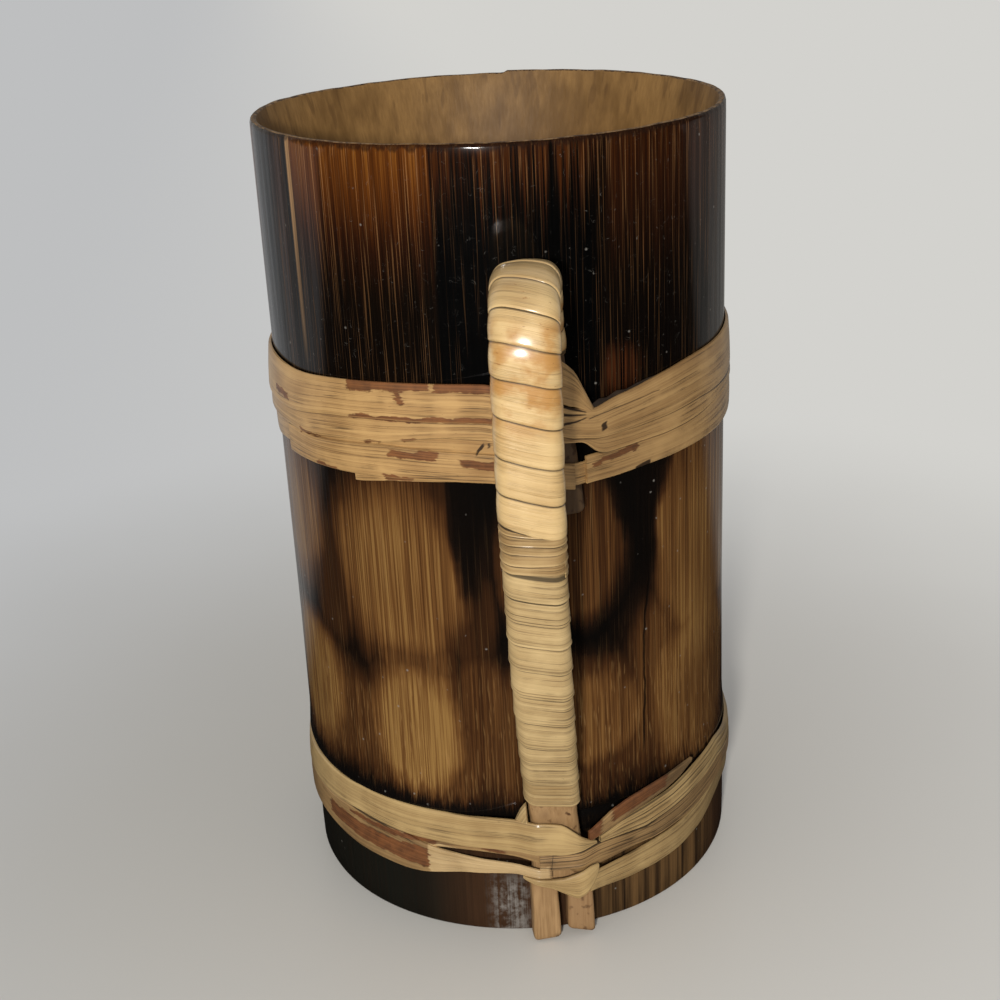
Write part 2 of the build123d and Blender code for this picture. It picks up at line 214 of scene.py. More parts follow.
def glowing(shade, colour):
    """A surface that shows a colour as it is, whatever falls on it."""
    return shade.node("Emission", {}, {"Color": colour, "Strength": 1.0})


# Away from the cup the table shows as pale haze. Where the lacquer mirrors it, it is dim before the
# cup, pale
# behind it and darker at the right: painted reflections.
mirrored, seen = ray_masks(shade)
pale = painted_side_light.mix(tone(190, 191, 192), tone(211, 210, 206))
haze = glowing(shade, (mirrored * painted_side_light).mix(pale, tone(150, 147, 142)))
far = seen * (away + (cloud - 0.5) * 0.04).ease(0.05, 0.24)
top = shade.node("MixShader", {}, {0: far, 1: table_top, 2: haze})
before = mirrored * backward.ease(0.10, 0.05)
top = shade.node("MixShader", {}, {0: before, 1: top, 2: glowing(shade, tone(30, 28, 27))})
shade.node("OutputMaterial", {}, {"Surface": top})
floor_mesh.materials.append(floor_material)

world = bpy.data.worlds.new("room")
world.use_nodes = True
world.node_tree.nodes.clear()
shade = Shade(world.node_tree)
mirrored, seen = ray_masks(shade)
rightward, backward, _ = shade.node("TexCoord", {}, {}, "Generated").parts()
far_wall = rightward.ease(0.2, 0.8).mix(tone(184, 181, 175), tone(150, 148, 143))
far_wall = mirrored.mix(tone(198, 200, 203), far_wall)
walls = (mirrored * backward.ease(0.46, 0.35)).mix(far_wall, tone(38, 36, 35))
room_colour = seen.mix(tone(250, 251, 255), walls)
room = shade.node("Background", {}, {"Color": room_colour, "Strength": seen * 0.6 + 0.4})
shade.node("OutputWorld", {}, {"Surface": room})
bpy.context.scene.world = world

key_light = bpy.data.lights.new("key", "AREA")
key_light.shape = "DISK"
key_light.size = 0.04
key_light.energy = 1.85
key_light.color = (1.0, 0.97, 0.93)
key = bpy.data.objects.new("key", key_light)
bpy.context.collection.objects.link(key)
key.location = (-0.128, -0.475, 0.226)
cup_middle = Vector((0, 0, 0.07))
key.rotation_euler = (cup_middle - key.location).to_track_quat("-Z", "Y").to_euler()


# Culm
# One length of thick bamboo, sawn off level, with the node's own wall left in as the floor. The
# skin was held over a flame in ovals, scraped and lacquered; the mouth is pared thin inside.
millimetre = 0.001
culm_radius = 40.0
culm_height = 140.0
wall = 4.4
node_height = 24.0
node_swell = 0.25
foot_lean = 0.3
rim_waver_depth = 1.8
rim_step_depth = 0.42
rim_step_angle = 166


def laid_mesh(name, rows, marks, capped=True, crease=50):
    """A piece through closed rows of points in millimetres, with named values at each point."""
    rows = np.asarray(rows, float)
    count, wide = rows.shape[:2]
    faces = []
    for i in range(count - 1):
        for j in range(wide):
            k = (j + 1) % wide
            faces.append((i * wide + j, i * wide + k, (i + 1) * wide + k, (i + 1) * wide + j))
    if capped:
        faces.append(tuple(reversed(range(wide))))
        faces.append(tuple(range((count - 1) * wide, count * wide)))
    mesh = bpy.data.meshes.new(name)
    mesh.from_pydata((rows.reshape(-1, 3) * millimetre).tolist(), [], faces)
    for mark, values in marks.items():
        held = mesh.attributes.new(mark, "FLOAT", "POINT")
        held.data.foreach_set("value", np.asarray(values, np.float32).reshape(-1))
    mesh.shade_smooth()
    mesh.set_sharp_from_angle(angle=math.radians(crease))
    mesh.update()
    piece = bpy.data.objects.new(name, mesh)
    bpy.context.collection.objects.link(piece)
    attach(piece, "root")
    return piece


def ripple(values, scale, seed):
    """Smooth, even waves between -1 and 1, the same in each run."""
    values = np.asarray(values, float) * scale
    waves = [(1.0, 0.3), (0.61, 1.9), (1.73, 4.1), (2.9, 0.7)]
    total = 0
    for k, (rate, phase) in enumerate(waves):
        total = total + np.sin(values * rate + phase + seed * (k + 1.7)) / (1 + k)
    return total / 2.1


def skin_rows(*places):
    """Points of the outer profile: how far proud of the culm's radius, and at what height."""
    return [(culm_radius + proud, height) for proud, height in places]


def mouth_rows(*places):
    """Points of the mouth's profile: how far in from the skin, and how far below the rim."""
    return [(culm_radius - aside, culm_height - below) for aside, below in places]


inner = culm_radius - wall
outer_rows = skin_rows(
    (-0.3, 0.0), (0.05, 0.15), (0.2, 0.5), (0.25, 4.0), (0.25, 8.0), (0.25, 13.0), (0.2, 18.3),
    (0.05, 20.5), (-0.25, 22.3), (-0.65, 23.0), (-0.8, 23.4), (-0.55, 23.9), (0.15, 24.3), (0.3, 24.7),
    (0.25, 25.6), (0.1, 27.5), (0.0, 30.0), *((0.0, 36 + 6.5 * k) for k in range(16)),
)
outer_rows += mouth_rows((0.0, 2.5), (0.03, 0.7), (0.15, 0.25), (0.3, 0.08))
rim_rows = mouth_rows((0.5, 0.0), (0.9, 0.03), (1.15, 0.2))
inner_rows = mouth_rows((1.45, 1.4), (2.0, 3.5), (2.7, 7.0), (3.5, 10.5), (4.1, 13.0), (4.35, 15.5))
inner_rows += [(inner, 120.0 - 8 * k) for k in range(12)]
inner_rows += [
    (inner, 25.5), (35.3, 23.4), (34.3, 21.8), (32.6, 21.0), (28.0, 20.6), (20.0, 20.2), (10.0, 19.9),
    (3.0, 19.8), (0.01, 19.8),
]
foot_rows = [
    (0.01, 15.3), (3.0, 15.3), (12.0, 15.6), (24.0, 16.1), (33.0, 16.5), (34.9, 15.9), (35.6, 14.6),
    (inner, 10.0), (inner, 4.0), (35.65, 0.5), (35.9, 0.05), (36.2, 0.0), (37.0, 0.0), (38.6, 0.0),
]
culm_rows = outer_rows + rim_rows + inner_rows + foot_rows
turns = np.radians(np.arange(0, 360, 1.0))
rows = []
for radius, height in culm_rows:
    out_of_round = 0.10 * np.sin(2 * turns + 0.8) + 0.05 * np.sin(5 * turns + height * 0.03)
    reach = np.full_like(turns, radius)
    if radius > 20:
        reach = reach + out_of_round
        if len(rows) < len(outer_rows):
            reach = reach + node_swell * np.clip((52 - height) / 26, 0, 1) * (height > node_height)
            reach = reach + foot_lean * np.sin(turns) * np.clip((node_height - height) / 4, 0, 1)
    level_here = np.full_like(turns, height)
    above = height - culm_height + rim_waver_depth
    if above > 0:
        past_step = np.degrees(turns) - rim_step_angle
        saw_cut = 0.10 * ripple(turns, 7.0, 2) + 0.05 * ripple(turns, 31.0, 5)
        step_share = np.clip(past_step / 1.2, 0, 1) * np.clip((79 - past_step) / 60, 0, 1)
        saw_cut -= rim_step_depth * step_share
        level_here = level_here + saw_cut * above / rim_waver_depth
    rows.append(np.stack([reach * np.sin(turns), -reach * np.cos(turns), level_here], 1))
rows.append(rows[0])
culm = laid_mesh("culm", rows, {}, capped=False, crease=40)


def measured(shade):
    """The place on the object, in millimetres."""
    place = shade.node("TexCoord", {}, {}, "Object")
    return shade.node("VectorMath", {"operation": "SCALE"}, {0: place, "Scale": 1 / millimetre})


def round_cup(x, y):
    """Degrees round the cup, from the handle towards the right."""
    return x.sum("ARCTAN2", x, -y) * math.degrees(1)


def stretched(spot, scale, along, detail=2.0, rough=0.5):
    """Noise drawn out along the culm, as its fibres are."""
    scales = (scale, scale, scale * along)
    drawn = spot.node("VectorMath", {"operation": "MULTIPLY"}, {0: spot, 1: scales})
    return drawn.noise(1.0, detail, rough)


scorched, shade = new_material("scorched_culm")
spot = measured(shade)
x, y, up = spot.parts()
turn = round_cup(x, y)
drift = stretched(spot, 0.11, 0.6, 3.0)
drift_up = stretched(spot, 0.09, 0.8, 3.0)
fibre = stretched(spot, 3.4, 0.009, 2.0, 0.6).ease(0.30, 0.70)
hair = stretched(spot, 4.6, 0.010, 1.0)
coarse = stretched(spot, 0.75, 0.02, 2.0, 0.6).ease(0.25, 0.75)
broad = stretched(spot, 0.16, 0.12, 2.0)
fleck = stretched(spot, 3.0, 0.07, 1.0)
turn_here = turn + (drift - 0.5) * 9 + (coarse - 0.5) * 1.6
up_here = up + (drift_up - 0.5) * 9 + (fibre - 0.5) * 0.6 + (coarse - 0.5) * 1.2


def oval(turn_0, up_0, half_turn, half_up, soft=0.40):
    """One spot that the flame left light: 1 inside, 0 outside."""
    fullness = 2.4
    aside = shade.sum("WRAP", turn_here - turn_0, 180, -180) / half_turn
    above = (up_here - up_0) / half_up
    reach = (abs(aside) ** fullness + abs(above) ** fullness) ** (1 / fullness)
    return reach.ease(1 + soft, 1 - soft)


# Each oval's angle, height, half width, half height and, where it isn't the usual one, its softness.
upper_ovals = [
    (-36, 70.5, 19.5, 18.5), (5, 73.5, 16, 13.5, 0.25), (50, 73, 22.5, 25, 0.25), (-77, 76, 18, 16),
    (92, 75, 15, 20), (126, 77, 19, 18), (165, 75, 18, 21), (-156, 76, 18, 18), (-116, 75, 18, 20),
]
lower_ovals = [
    (-34, 40, 15, 13.5), (11, 42, 15, 11), (49, 41, 22, 19), (-71, 42, 16, 14), (92, 38, 15, 16),
    (127, 37, 18, 18), (164, 39, 18, 16), (-156, 37, 17, 18), (-117, 39, 18, 16),
]
# Fainter spots between them, each with its share of an oval's lightness first.
faint_ovals = [
    (0.72, -33, 53, 11, 8), (0.62, -32, 36, 27, 11), (0.60, -11, 40, 9, 14), (0.90, 50, 57, 16, 12),
    (0.68, 12, 38, 24, 13), (0.72, 33, 46, 14, 17), (0.64, -57, 39, 18, 11), (0.50, -58, 66, 10, 14),
    (0.62, -15, 47, 7, 9), (0.48, -17, 62, 6, 12),
]
ovals = [oval(*place) for place in upper_ovals + lower_ovals]
ovals += [oval(*place) * share for share, *place in faint_ovals]
light = ovals[0].over(*ovals[1:])
# The flame ran down between the upper ovals in two wedges, given by their tip, spread and angle.
wedges = [
    ((up_here - tip) * spread - abs(turn_here - angle)).ease(-3, 2)
    for tip, spread, angle in ((63, 0.37, 25), (66, 0.26, -17.5))
]
light = light * (1 - wedges[0].over(wedges[1]) * up.ease(60, 70) * 0.92)
strength = 0.60 + broad * 0.3 + up.ease(66, 44) * 0.13 - up.ease(74, 90) * 0.18
# Painted shade: the ovals are darker right of the handle, where its shadow falls, and low on the right
# side.
strength = strength - turn.within(0, 6, 20, 30) * 0.21 - turn.ease(30, 44) * up.ease(54, 40) * 0.20
browns = [
    (0.0, tone(8, 7, 6)), (1.0, tone(142, 108, 60)), (0.22, tone(27, 16, 9)), (0.5, tone(62, 37, 18)),
    (0.78, tone(104, 70, 36)),
]
toast = light * (strength + (fibre - 0.5) * 0.30 + (coarse - 0.5) * 0.16) + hair * 0.04
brown = shade.node("ValToRGB", {"stops": browns}, {0: toast})

# Above the ovals the skin is near black, and warms to amber towards the rim, field by field.
amber = turn.within(-62, -58, -21.6, -20.6) * (0.12 + up.ease(106, 140) ** 1.7 * 0.58)
ragged_up = up + (coarse - 0.5) * 8 + (fibre - 0.5) * 9
middle = turn.within(-22, -20, 14, 18) * ragged_up.ease(125, 141) * 0.40
fields = [
    turn.within(*angles) * (least + up.ease(*heights) * more)
    for angles, least, heights, more in (
        ((12, 20, 66, 74), 0.09, (108, 139), 0.30),
        ((72, 80, 120, 128), 0.20, (100, 139), 0.55),
        ((140, 150, 190, 200), 0.16, (106, 139), 0.42),
        ((-150, -140, -88, -78), 0.30, (102, 138), 0.50),
        ((-74, -66, -64, -60), 0.16, (100, 135), 0.20),
    )
]
warmth = amber.over(middle, *fields)
warmth = warmth * (0.62 + coarse * 0.38 + fibre * 0.36) + (fibre - 0.5) * 0.02
ambers = [
    (0.0, tone(3, 3, 3)), (1.0, tone(134, 84, 30)), (0.16, tone(15, 8, 4)), (0.36, tone(38, 17, 6)),
    (0.66, tone(84, 44, 12)),
]
glow = shade.node("ValToRGB", {"stops": ambers}, {0: warmth})
glow = (hair.ease(0.58, 0.72) * (0.10 + warmth * 0.8)).mix(glow, tone(146, 104, 64))
spot_right = oval(20, 103, 5, 4, 0.6) * fibre.ease(0.2, 0.8) * coarse
glow = (spot_right * 0.8).mix(glow, tone(104, 54, 24))
skin = (up + (drift - 0.5) * 6).ease(92, 99).mix(brown, glow)
# A thin line where the skin is peeled, and pale veins in the ovals.
peeled = turn.within(-60.9, -60.4, -59.4, -58.9) * up.ease(101, 112)
peeled = peeled * (0.35 + up.ease(112, 134) * 0.65) * (0.55 + fibre * 0.6)
skin = peeled.mix(skin, tone(158, 122, 82))
vein = light * (fleck.ease(0.60, 0.72) * up.ease(64, 42) * 0.42).over(hair.ease(0.60, 0.74) * 0.30)
skin = (vein * up.ease(96, 90)).mix(skin, tone(158, 122, 74))

# The foot is nearly black at the left, striped at the right and chalky beside the prongs.
foot_left = turn.ease(-17, -37)
foot_base = foot_left.mix(tone(70, 48, 32), tone(24, 26, 22))
foot_right = turn.within(4, 9, 44, 60)
foot_base = foot_right.mix(foot_base, tone(112, 84, 52))
stripe = stretched(spot, 0.42, 0.05, 2.0).ease(0.38, 0.62)
foot_line = stripe * 0.6 * foot_right.over(0.25) + fibre * 0.25 + coarse * 0.2
foot_skin = foot_line.mix(foot_base, tone(34, 24, 17))
bloom = spot.noise(0.55, 4.0, 0.7)
chalk = turn.within(-19.0, -13.0, -9.5, -4.5) * up.ease(14, 8)
chalk = chalk * (bloom * 0.85 + fibre * 0.13 + coarse * 0.16).ease(0.44, 0.76)
foot_skin = (chalk * 0.62).mix(foot_skin, tone(152, 148, 142))
skin = (up + (drift - 0.5) * 2).ease(20, 16).mix(skin, foot_skin)

# The node's burnt scar with painted shade in its groove, a long crack, dust, scratches, the mouth's
# burnt edge.
ragged_up = up + (drift_up - 0.5) * 3 + (coarse - 0.5) * 1.5 + (fibre - 0.5) * 1.5
# Near black over the node: partly its burnt scar, partly painted shade in the groove under the lip.
node_scar_and_shade = (up + (drift - 0.5) * 1.2).ease(20.5, 23) * (ragged_up + turn.ease(-8, 4) * 1.4).ease(28, 25.2)
skin = (node_scar_and_shade * 0.92).mix(skin, tone(12, 10, 9))
crack_angle = 26.6 + (drift_up - 0.5) * 5 + (up - 50) * 0.06
crack = abs(turn - crack_angle).ease(0.42, 0.12) * up.within(30, 36, 62, 70)
skin = (crack * 0.85).mix(skin, tone(14, 10, 7))
dust = shade.node("TexVoronoi", {"feature": "F1"}, {"Vector": spot, "Scale": 0.32, "Randomness": 1.0})
dust_near = spot.noise(0.9, 2.0)
specks = dust.ease(0.10, 0.03) * dust_near.ease(0.44, 0.58)
scratched = spot.noise(0.30, 1.0, distortion=2.5)
scratches = abs(scratched - 0.5).ease(0.006, 0.001) * dust_near.ease(0.55, 0.7)
skin = (specks * 0.5).over(scratches * up.ease(90, 100) * 0.30).mix(skin, tone(150, 146, 138))
edge_burn = (up + (coarse - 0.5) * 1.0).ease(138.9, 139.5)
skin = (edge_burn * 0.7).mix(skin, tone(34, 20, 12))
relief = (fibre - 0.5) * 0.030 + (coarse - 0.5) * 0.05 + spot.noise(0.10, 2.0) * 0.5
relief = relief - crack * 0.12 - chalk * 0.03
lacquer = (0.30 + coarse * 0.34 + fibre * 0.10) * (1 - up.ease(22, 17) * 0.7) - chalk * 0.1
surface(
    shade, skin, 0.44 + fibre * 0.16 + chalk * 0.3, relief, varied={"Coat Weight": lacquer},
    Coat_Roughness=0.11, Coat_IOR=1.5, Specular_IOR_Level=0.02,
)

pared, shade = new_material("pared_inside")
spot = measured(shade)
x, y, up = spot.parts()
grain = stretched(spot, 1.8, 0.03, 3.0, 0.6)
stain = stretched(spot, 0.07, 0.6, 3.0)
mottle = stretched(spot, 0.4, 0.4, 3.0)
wood = (stain * 0.6 + mottle * 0.4).ease(0.36, 0.64).mix(tone(120, 88, 46), tone(160, 122, 70))
wood = ((grain - 0.5) * 0.9 + 0.2).mix(wood, tone(104, 74, 38))
# Painted shade: the inside is darker down towards the floor.
wood = (up.ease(20, 120) * 0.8 + 0.2).mix(tone(96, 70, 42), wood)
# Painted light: a pale patch on the far wall below the mouth, where the lamp shines in past the rim.
pale = (up + (mottle - 0.5) * 4).ease(119, 116) * up.ease(60, 104)
pale = pale * abs(x - 1).ease(17, 14) * y.ease(10, 20)
wood = (pale * (0.5 + grain * 0.5)).mix(wood, tone(196, 160, 116))
drip = (stretched(spot, 0.5, 0.12, 2.0) - up.ease(139, 124) * 0.14).ease(0.56, 0.64)
wood = (drip * 0.35).mix(wood, tone(84, 56, 28))
surface(shade, wood, 0.5 + grain * 0.15, (grain - 0.5) * 0.05 + mottle * 0.1, Specular_IOR_Level=0.35)

sawn, shade = new_material("sawn_edge")
spot = measured(shade)
pores = stretched(spot, 2.2, 1.0, 3.0)
chips = stretched(spot, 0.6, 1.0, 2.0)
wood = (pores * 0.5 + chips * 0.6).ease(0.42, 0.68).mix(tone(66, 44, 26), tone(150, 116, 74))
surface(shade, wood, 0.6, pores * 0.06, Specular_IOR_Level=0.3)

for finish in (scorched, pared, sawn):
    culm.data.materials.append(finish)
skin_end = len(outer_rows) - 1
rim_end = skin_end + len(rim_rows)
inside_end = rim_end + len(inner_rows)
for face in culm.data.polygons:
    row = face.index // len(turns)
    face.material_index = 0 if row < skin_end else 1 if rim_end <= row < inside_end else 2
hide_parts("cup_culm")


# Handle core
# A split of thick culm wall, bent by heat into a hook. Its long leg stands on the table, slit at
# the end into two prongs; its short leg lies against the wall under the upper lashing.
leg_out = 42.2
leaves_wall = 28.0
grip_out = 62.0
grip_side = -5.15
grip_twist = 13.0
arch_out = 43.7
arch_foot = 113.15
short_leg_end = 81.8
core_wide = 8.85
waist_wide = 8.2
foot_wide = 11.1
flare_height = 26.0
core_thick = 3.6
core_corner = 1.6
slit_half = 0.75
prong_top = 14.0


def bent(points, shares):
    """Straight runs with their inner corners bent round, each over a share of its shorter run."""
    points = [np.array(p, float) for p in points]
    line = [points[0]]
    for before, at, after, share in zip(points, points[1:], points[2:], shares):
        runs = [np.linalg.norm(at - before), np.linalg.norm(after - at)]
        way_in, way_out = (at - before) / runs[0], (after - at) / runs[1]
        bend = math.acos(float(np.clip(way_in @ way_out, -1, 1)))
        held = share * min(runs)
        radius = held / math.tan(bend / 2)
        aside = way_out - way_in * (way_in @ way_out)
        aside /= np.linalg.norm(aside)
        for a in np.linspace(0, bend, 24):
            onward = way_in * (radius * math.sin(a) - held)
            line.append(at + onward + aside * radius * (1 - math.cos(a)))
    return line + [points[-1]]


bow, grip_foot = (53.29, 53.97), (grip_out, 88.03)
rise = bent(
    [(leg_out, 0.4), (leg_out, leaves_wall), bow, grip_foot, (grip_out, arch_foot)], [0.3, 0.35, 0.49]
)
arch_radius = (grip_out - arch_out) / 2
arch = [
    np.array((arch_out + arch_radius * (1 + math.cos(a)), arch_foot + arch_radius * math.sin(a)))
    for a in np.linspace(0, math.pi, 90)[1:]
]
fall = bent([(arch_out, arch_foot), (leg_out, 107.6), (leg_out, short_leg_end)], [0.35])[1:]
flat_line = np.array(rise + arch + fall)
flat_steps = np.concatenate([[0], np.cumsum(np.linalg.norm(np.diff(flat_line, axis=0), axis=1))])
arch_starts = flat_steps[len(rise) - 1]
core_length = flat_steps[-1]
core_steps = np.linspace(0, core_length, 900)
core_flat = np.stack([np.interp(core_steps, flat_steps, flat_line[:, k]) for k in (0, 1)], 1)
reach_share = (core_flat[:, 0] - leg_out) / (grip_out - leg_out)


def short_leg_side(height):
    """How far the short leg lies to the right at a height: it slants from the arch to its end."""
    return -1.0 + 3.1 * np.clip((arch_foot - height) / (arch_foot - short_leg_end), 0, 1)


def long_leg_side(height):
    """How far the long leg lies to the right at a height."""
    return -0.4 + 1.3 * np.clip(1 - height / leaves_wall, 0, 1)


core_out, core_up = core_flat.T
near_side = np.where(core_steps > arch_starts, short_leg_side(core_up), long_leg_side(core_up))
core_aside = near_side + (grip_side - near_side) * reach_share
core_line = np.stack([core_aside, -core_out, core_up], 1)
core_run = np.gradient(core_line, core_steps, axis=0)
core_run /= np.linalg.norm(core_run, axis=1)[:, None]
twist = np.radians(grip_twist) * reach_share
core_across = np.stack([np.cos(twist), -np.sin(twist), 0 * twist], 1)
core_across -= core_run * (core_run * core_across).sum(1)[:, None]
core_across /= np.linalg.norm(core_across, axis=1)[:, None]
core_outward = np.cross(core_across, core_run)


def on_core(table, along):
    """The values of one of the core's tables at lengths along it."""
    return np.stack([np.interp(along, core_steps, table[:, k]) for k in range(3)], -1)


def core_half(along):
    """Half the core's width at lengths along it."""
    height = np.interp(along, core_steps, core_line[:, 2])
    foot = foot_wide + (waist_wide - foot_wide) * np.clip(height / flare_height, 0, 1)
    grip = waist_wide + (core_wide - waist_wide) * np.clip(along / arch_starts, 0, 1)
    return np.where((along < arch_starts) & (height < flare_height), foot, grip) / 2


def section(points, half_wide, half_thick, corner):
    """A rectangle with rounded corners: places and outward ways, from the middle of its right side."""
    walk = []
    for k, (cx, cy) in enumerate([(1, 1), (-1, 1), (-1, -1), (1, -1)]):
        for a in np.linspace(0, math.pi / 2, 9):
            nx, ny = math.cos(a + k * math.pi / 2), math.sin(a + k * math.pi / 2)
            px, py = cx * (half_wide - corner) + corner * nx, cy * (half_thick - corner) + corner * ny
            walk.append((px, py, nx, ny))
    walk = np.array([(half_wide, 0, 1, 0)] + walk + [(half_wide, 0, 1, 0)])
    lengths = np.concatenate([[0], np.cumsum(np.linalg.norm(np.diff(walk[:, :2], axis=0), axis=1))])
    shares = np.mod(np.asarray(points, float), 1.0) * lengths[-1]
    return [np.interp(shares, lengths, walk[:, k]) for k in range(4)]


def on_section(along, around, lift):
    """Points over the core's skin, at lengths along it and shares of the way round it."""
    px, py, nx, ny = section(around, core_wide / 2, core_thick / 2, core_corner)
    flat = np.where(py > 0, 1 - (px / (core_wide / 2)) ** 2, 0)
    px = px * core_half(along) / (core_wide / 2)
    centre, across, outward = (on_core(t, along) for t in (core_line, core_across, core_outward))
    on_grip = np.interp(along, core_steps, reach_share)
    py = py + flat * (0.45 * on_grip + 0.5 * np.clip(outward[..., 2], 0, 1))
    return centre + across * (px + nx * lift)[..., None] + outward * (py + ny * lift)[..., None]


ring_shares = np.arange(0, 1, 1 / 40)
rows = []
for along in np.arange(11.0, core_length, 1.2).tolist() + [core_length - 0.4, core_length]:
    draw_in = 0.25 if along == core_length else 0.0
    waver = 0.05 * ripple(ring_shares * 2 * math.pi + along * 0.05, 1.0, 3)
    rows.append(on_section(np.full(len(ring_shares), along), ring_shares, waver - draw_in))
core_leg = laid_mesh("core_leg", rows, {}, crease=60)


def prong(name, left, right, foot, chip):
    """One prong: the part of the core between two sides of the slit, its foot cut with a slope."""
    found = []
    for share in np.linspace(0, 1, 15):
        half = (right - left) / 2 * (1 + 0.03 * math.sin(share * 5 + left))
        middle = (left + right) / 2 + 0.15 * math.sin(share * 3 + right)
        px, py, _, _ = section(np.arange(0, 1, 1 / 32), half, core_thick / 2, 0.55)
        if share == 0:
            px, py = px * 0.9, py * 0.86
        along = foot + (prong_top - foot) * share ** 1.3
        slope = chip * (px / half) * (1 - share) ** 2
        lengths = np.clip(along + slope, 0.0, None)
        centre, across, outward = (on_core(t, lengths) for t in (core_line, core_across, core_outward))
        aside = centre + across * (px + middle)[:, None] + outward * py[:, None]
        aside[:, 2] = np.maximum(aside[:, 2], 0.15)
        found.append(aside)
    return laid_mesh(name, found, {}, crease=55)


prong_left = prong("prong_left", -5.5, -slit_half, 0.35, 0.0)
prong_right = prong("prong_right", slit_half, 5.4, 1.0, -0.8)

bare_split, shade = new_material("bare_split")
spot = measured(shade)
x, y, up = spot.parts()
grain = stretched(spot, 2.4, 0.05, 3.0, 0.6)
cloud = stretched(spot, 0.35, 0.35, 3.0)
wood = (grain * 0.6 + cloud * 0.5).ease(0.35, 0.7).mix(tone(144, 111, 72), tone(174, 139, 96))
spots = spot.noise(0.55, 2.0).ease(0.57, 0.66) * (x.ease(1.0, 2.2) * 0.8 + up.ease(20, 26) * 0.7)
pits = (cloud * 0.8 + grain * 0.3).ease(0.50, 0.72) * up.within(20, 23, 26, 30)
wood = (x.ease(0.6, 1.4) * up.ease(16, 10) * 0.35).mix(wood, tone(112, 78, 50))
wood = (spots.over(pits * 0.7) * 0.8).mix(wood, tone(88, 58, 34))
# The short leg's end is dark wood, darker still with painted shade where it lies in the hollow.
dark_shaded_end = up.ease(79, 81) * y.ease(-54, -50)
wood = (dark_shaded_end * 0.85).mix(wood, tone(66, 46, 28))
# Dark patches on the lowest two millimetres of the prongs.
dark_foot_patches = up.ease(2.0, 0.6) * (cloud + grain * 0.4).ease(0.6, 0.8)
wood = (dark_foot_patches * 0.7).mix(wood, tone(56, 40, 30))
surface(shade, wood, 0.46 + grain * 0.2, (grain - 0.5) * 0.06 + cloud * 0.2, Specular_IOR_Level=0.4)
for piece in (core_leg, prong_left, prong_right):
    piece.data.materials.append(bare_split)
    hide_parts("handle_core")


# Handle winding
# Flat strips of split skin wound up the core like shingles: the lower edge of each turn lies on
# the turn below. The upper strip is wide and glossy with lacquer; the lower one is dull and paler.
strip_thick = 0.28
strip_tilt = 0.24
strip_clear = 0.10
steps_a_turn = 64
turn_length = 23.5
front_share = 0.25
# Shares of the strip's width at which its outer face and its underside have points.
over_places = np.array([0, 0.015, 0.04, 0.08, 0.15, 0.25, 0.38, 0.5, 0.62, 0.75, 0.86, 0.94, 0.985, 1])
under_places = np.array([1.0, 0.7, 0.4, 0.15, 0.04, 0.0])


def wound(name, seams, start, end, overlap, seed, swell=0.0, ridges=0.0, waver=0.10):
    """A strip wound from one turn to another; seams are its lower edges up the front of the core."""
    turns_at = np.arange(len(seams)) + front_share
    slope_in, slope_out = seams[1] - seams[0], seams[-1] - seams[-2]
    places = np.concatenate([over_places, under_places])
    over = np.arange(len(places)) < len(over_places)

    def edge(u):
        before, after = np.minimum(u - turns_at[0], 0), np.maximum(u - turns_at[-1], 0)
        return float(np.interp(u, turns_at, seams) + before * slope_in + after * slope_out)

    rows, across, along, number, edges, gaps = [], [], [], [], [], []
    walked = 0.0
    for u in np.arange(start, end, 1 / steps_a_turn):
        low = edge(u) + waver * ripple(u, 5.1, seed)
        high = edge(u + 1) + overlap + 0.08 * ripple(u, 3.3, seed + 4)
        bulk = strip_tilt * (1 - places) ** 1.3 * (1 + 0.25 * ripple(u, 1.3, seed + 2))
        crown = swell * np.sin(math.pi * places)
        fine = ridges * np.sin(places * 31 + 2 * ripple(u, 0.9, seed)) * np.exp(-places * 3.2)
        rounded = 0.13 * np.exp(-((places / 0.02) ** 2)) + 0.08 * np.exp(-(((1 - places) / 0.03) ** 2))
        lip = 0.03 * np.exp(-(((places - 0.05) / 0.03) ** 2))
        lift = strip_clear + bulk + np.where(over, strip_thick + crown + fine + lip - rounded, 0.02)
        lengths = low + (high - low) * places
        rows.append(on_section(lengths, np.full(len(places), u), lift))
        across.append(places)
        edges.append(lengths - low)
        gaps.append(edge(u + 1) + waver * ripple(u + 1, 5.1, seed) - lengths)
        walked += turn_length / steps_a_turn
        along.append(np.full(len(places), walked))
        number.append(np.full(len(places), np.floor(u + front_share) + seed * 3))
    marks = {"across": across, "along": along, "number": number, "edge": edges, "seam": gaps}
    return laid_mesh(name, rows, marks, crease=70)


lower_seams = [29.7, 35.7, 41.8, 46.2, 52.75, 58.9, 64.7, 69.8, 74.5, 79.0]
join_seams = [84.2, 85.9, 87.5, 89.0]
upper_seams = [90.8, 96.2, 101.8, 107.8, 113.9, 118.3, 122.2, 126.4, 130.9, 135.3, 139.5, 143.2, 146.6]
wrap_lower = wound("wrap_lower", lower_seams, 0.0, 10.05, 0.9, 1, 0.05, 0.05)
wrap_join = wound("wrap_join", join_seams, -0.45, 4.55, 0.35, 2, 0.03, 0.04, 0.30)
wrap_upper = wound("wrap_upper", upper_seams, -0.48, 12.8, 0.7, 3, 0.21, 0.0)


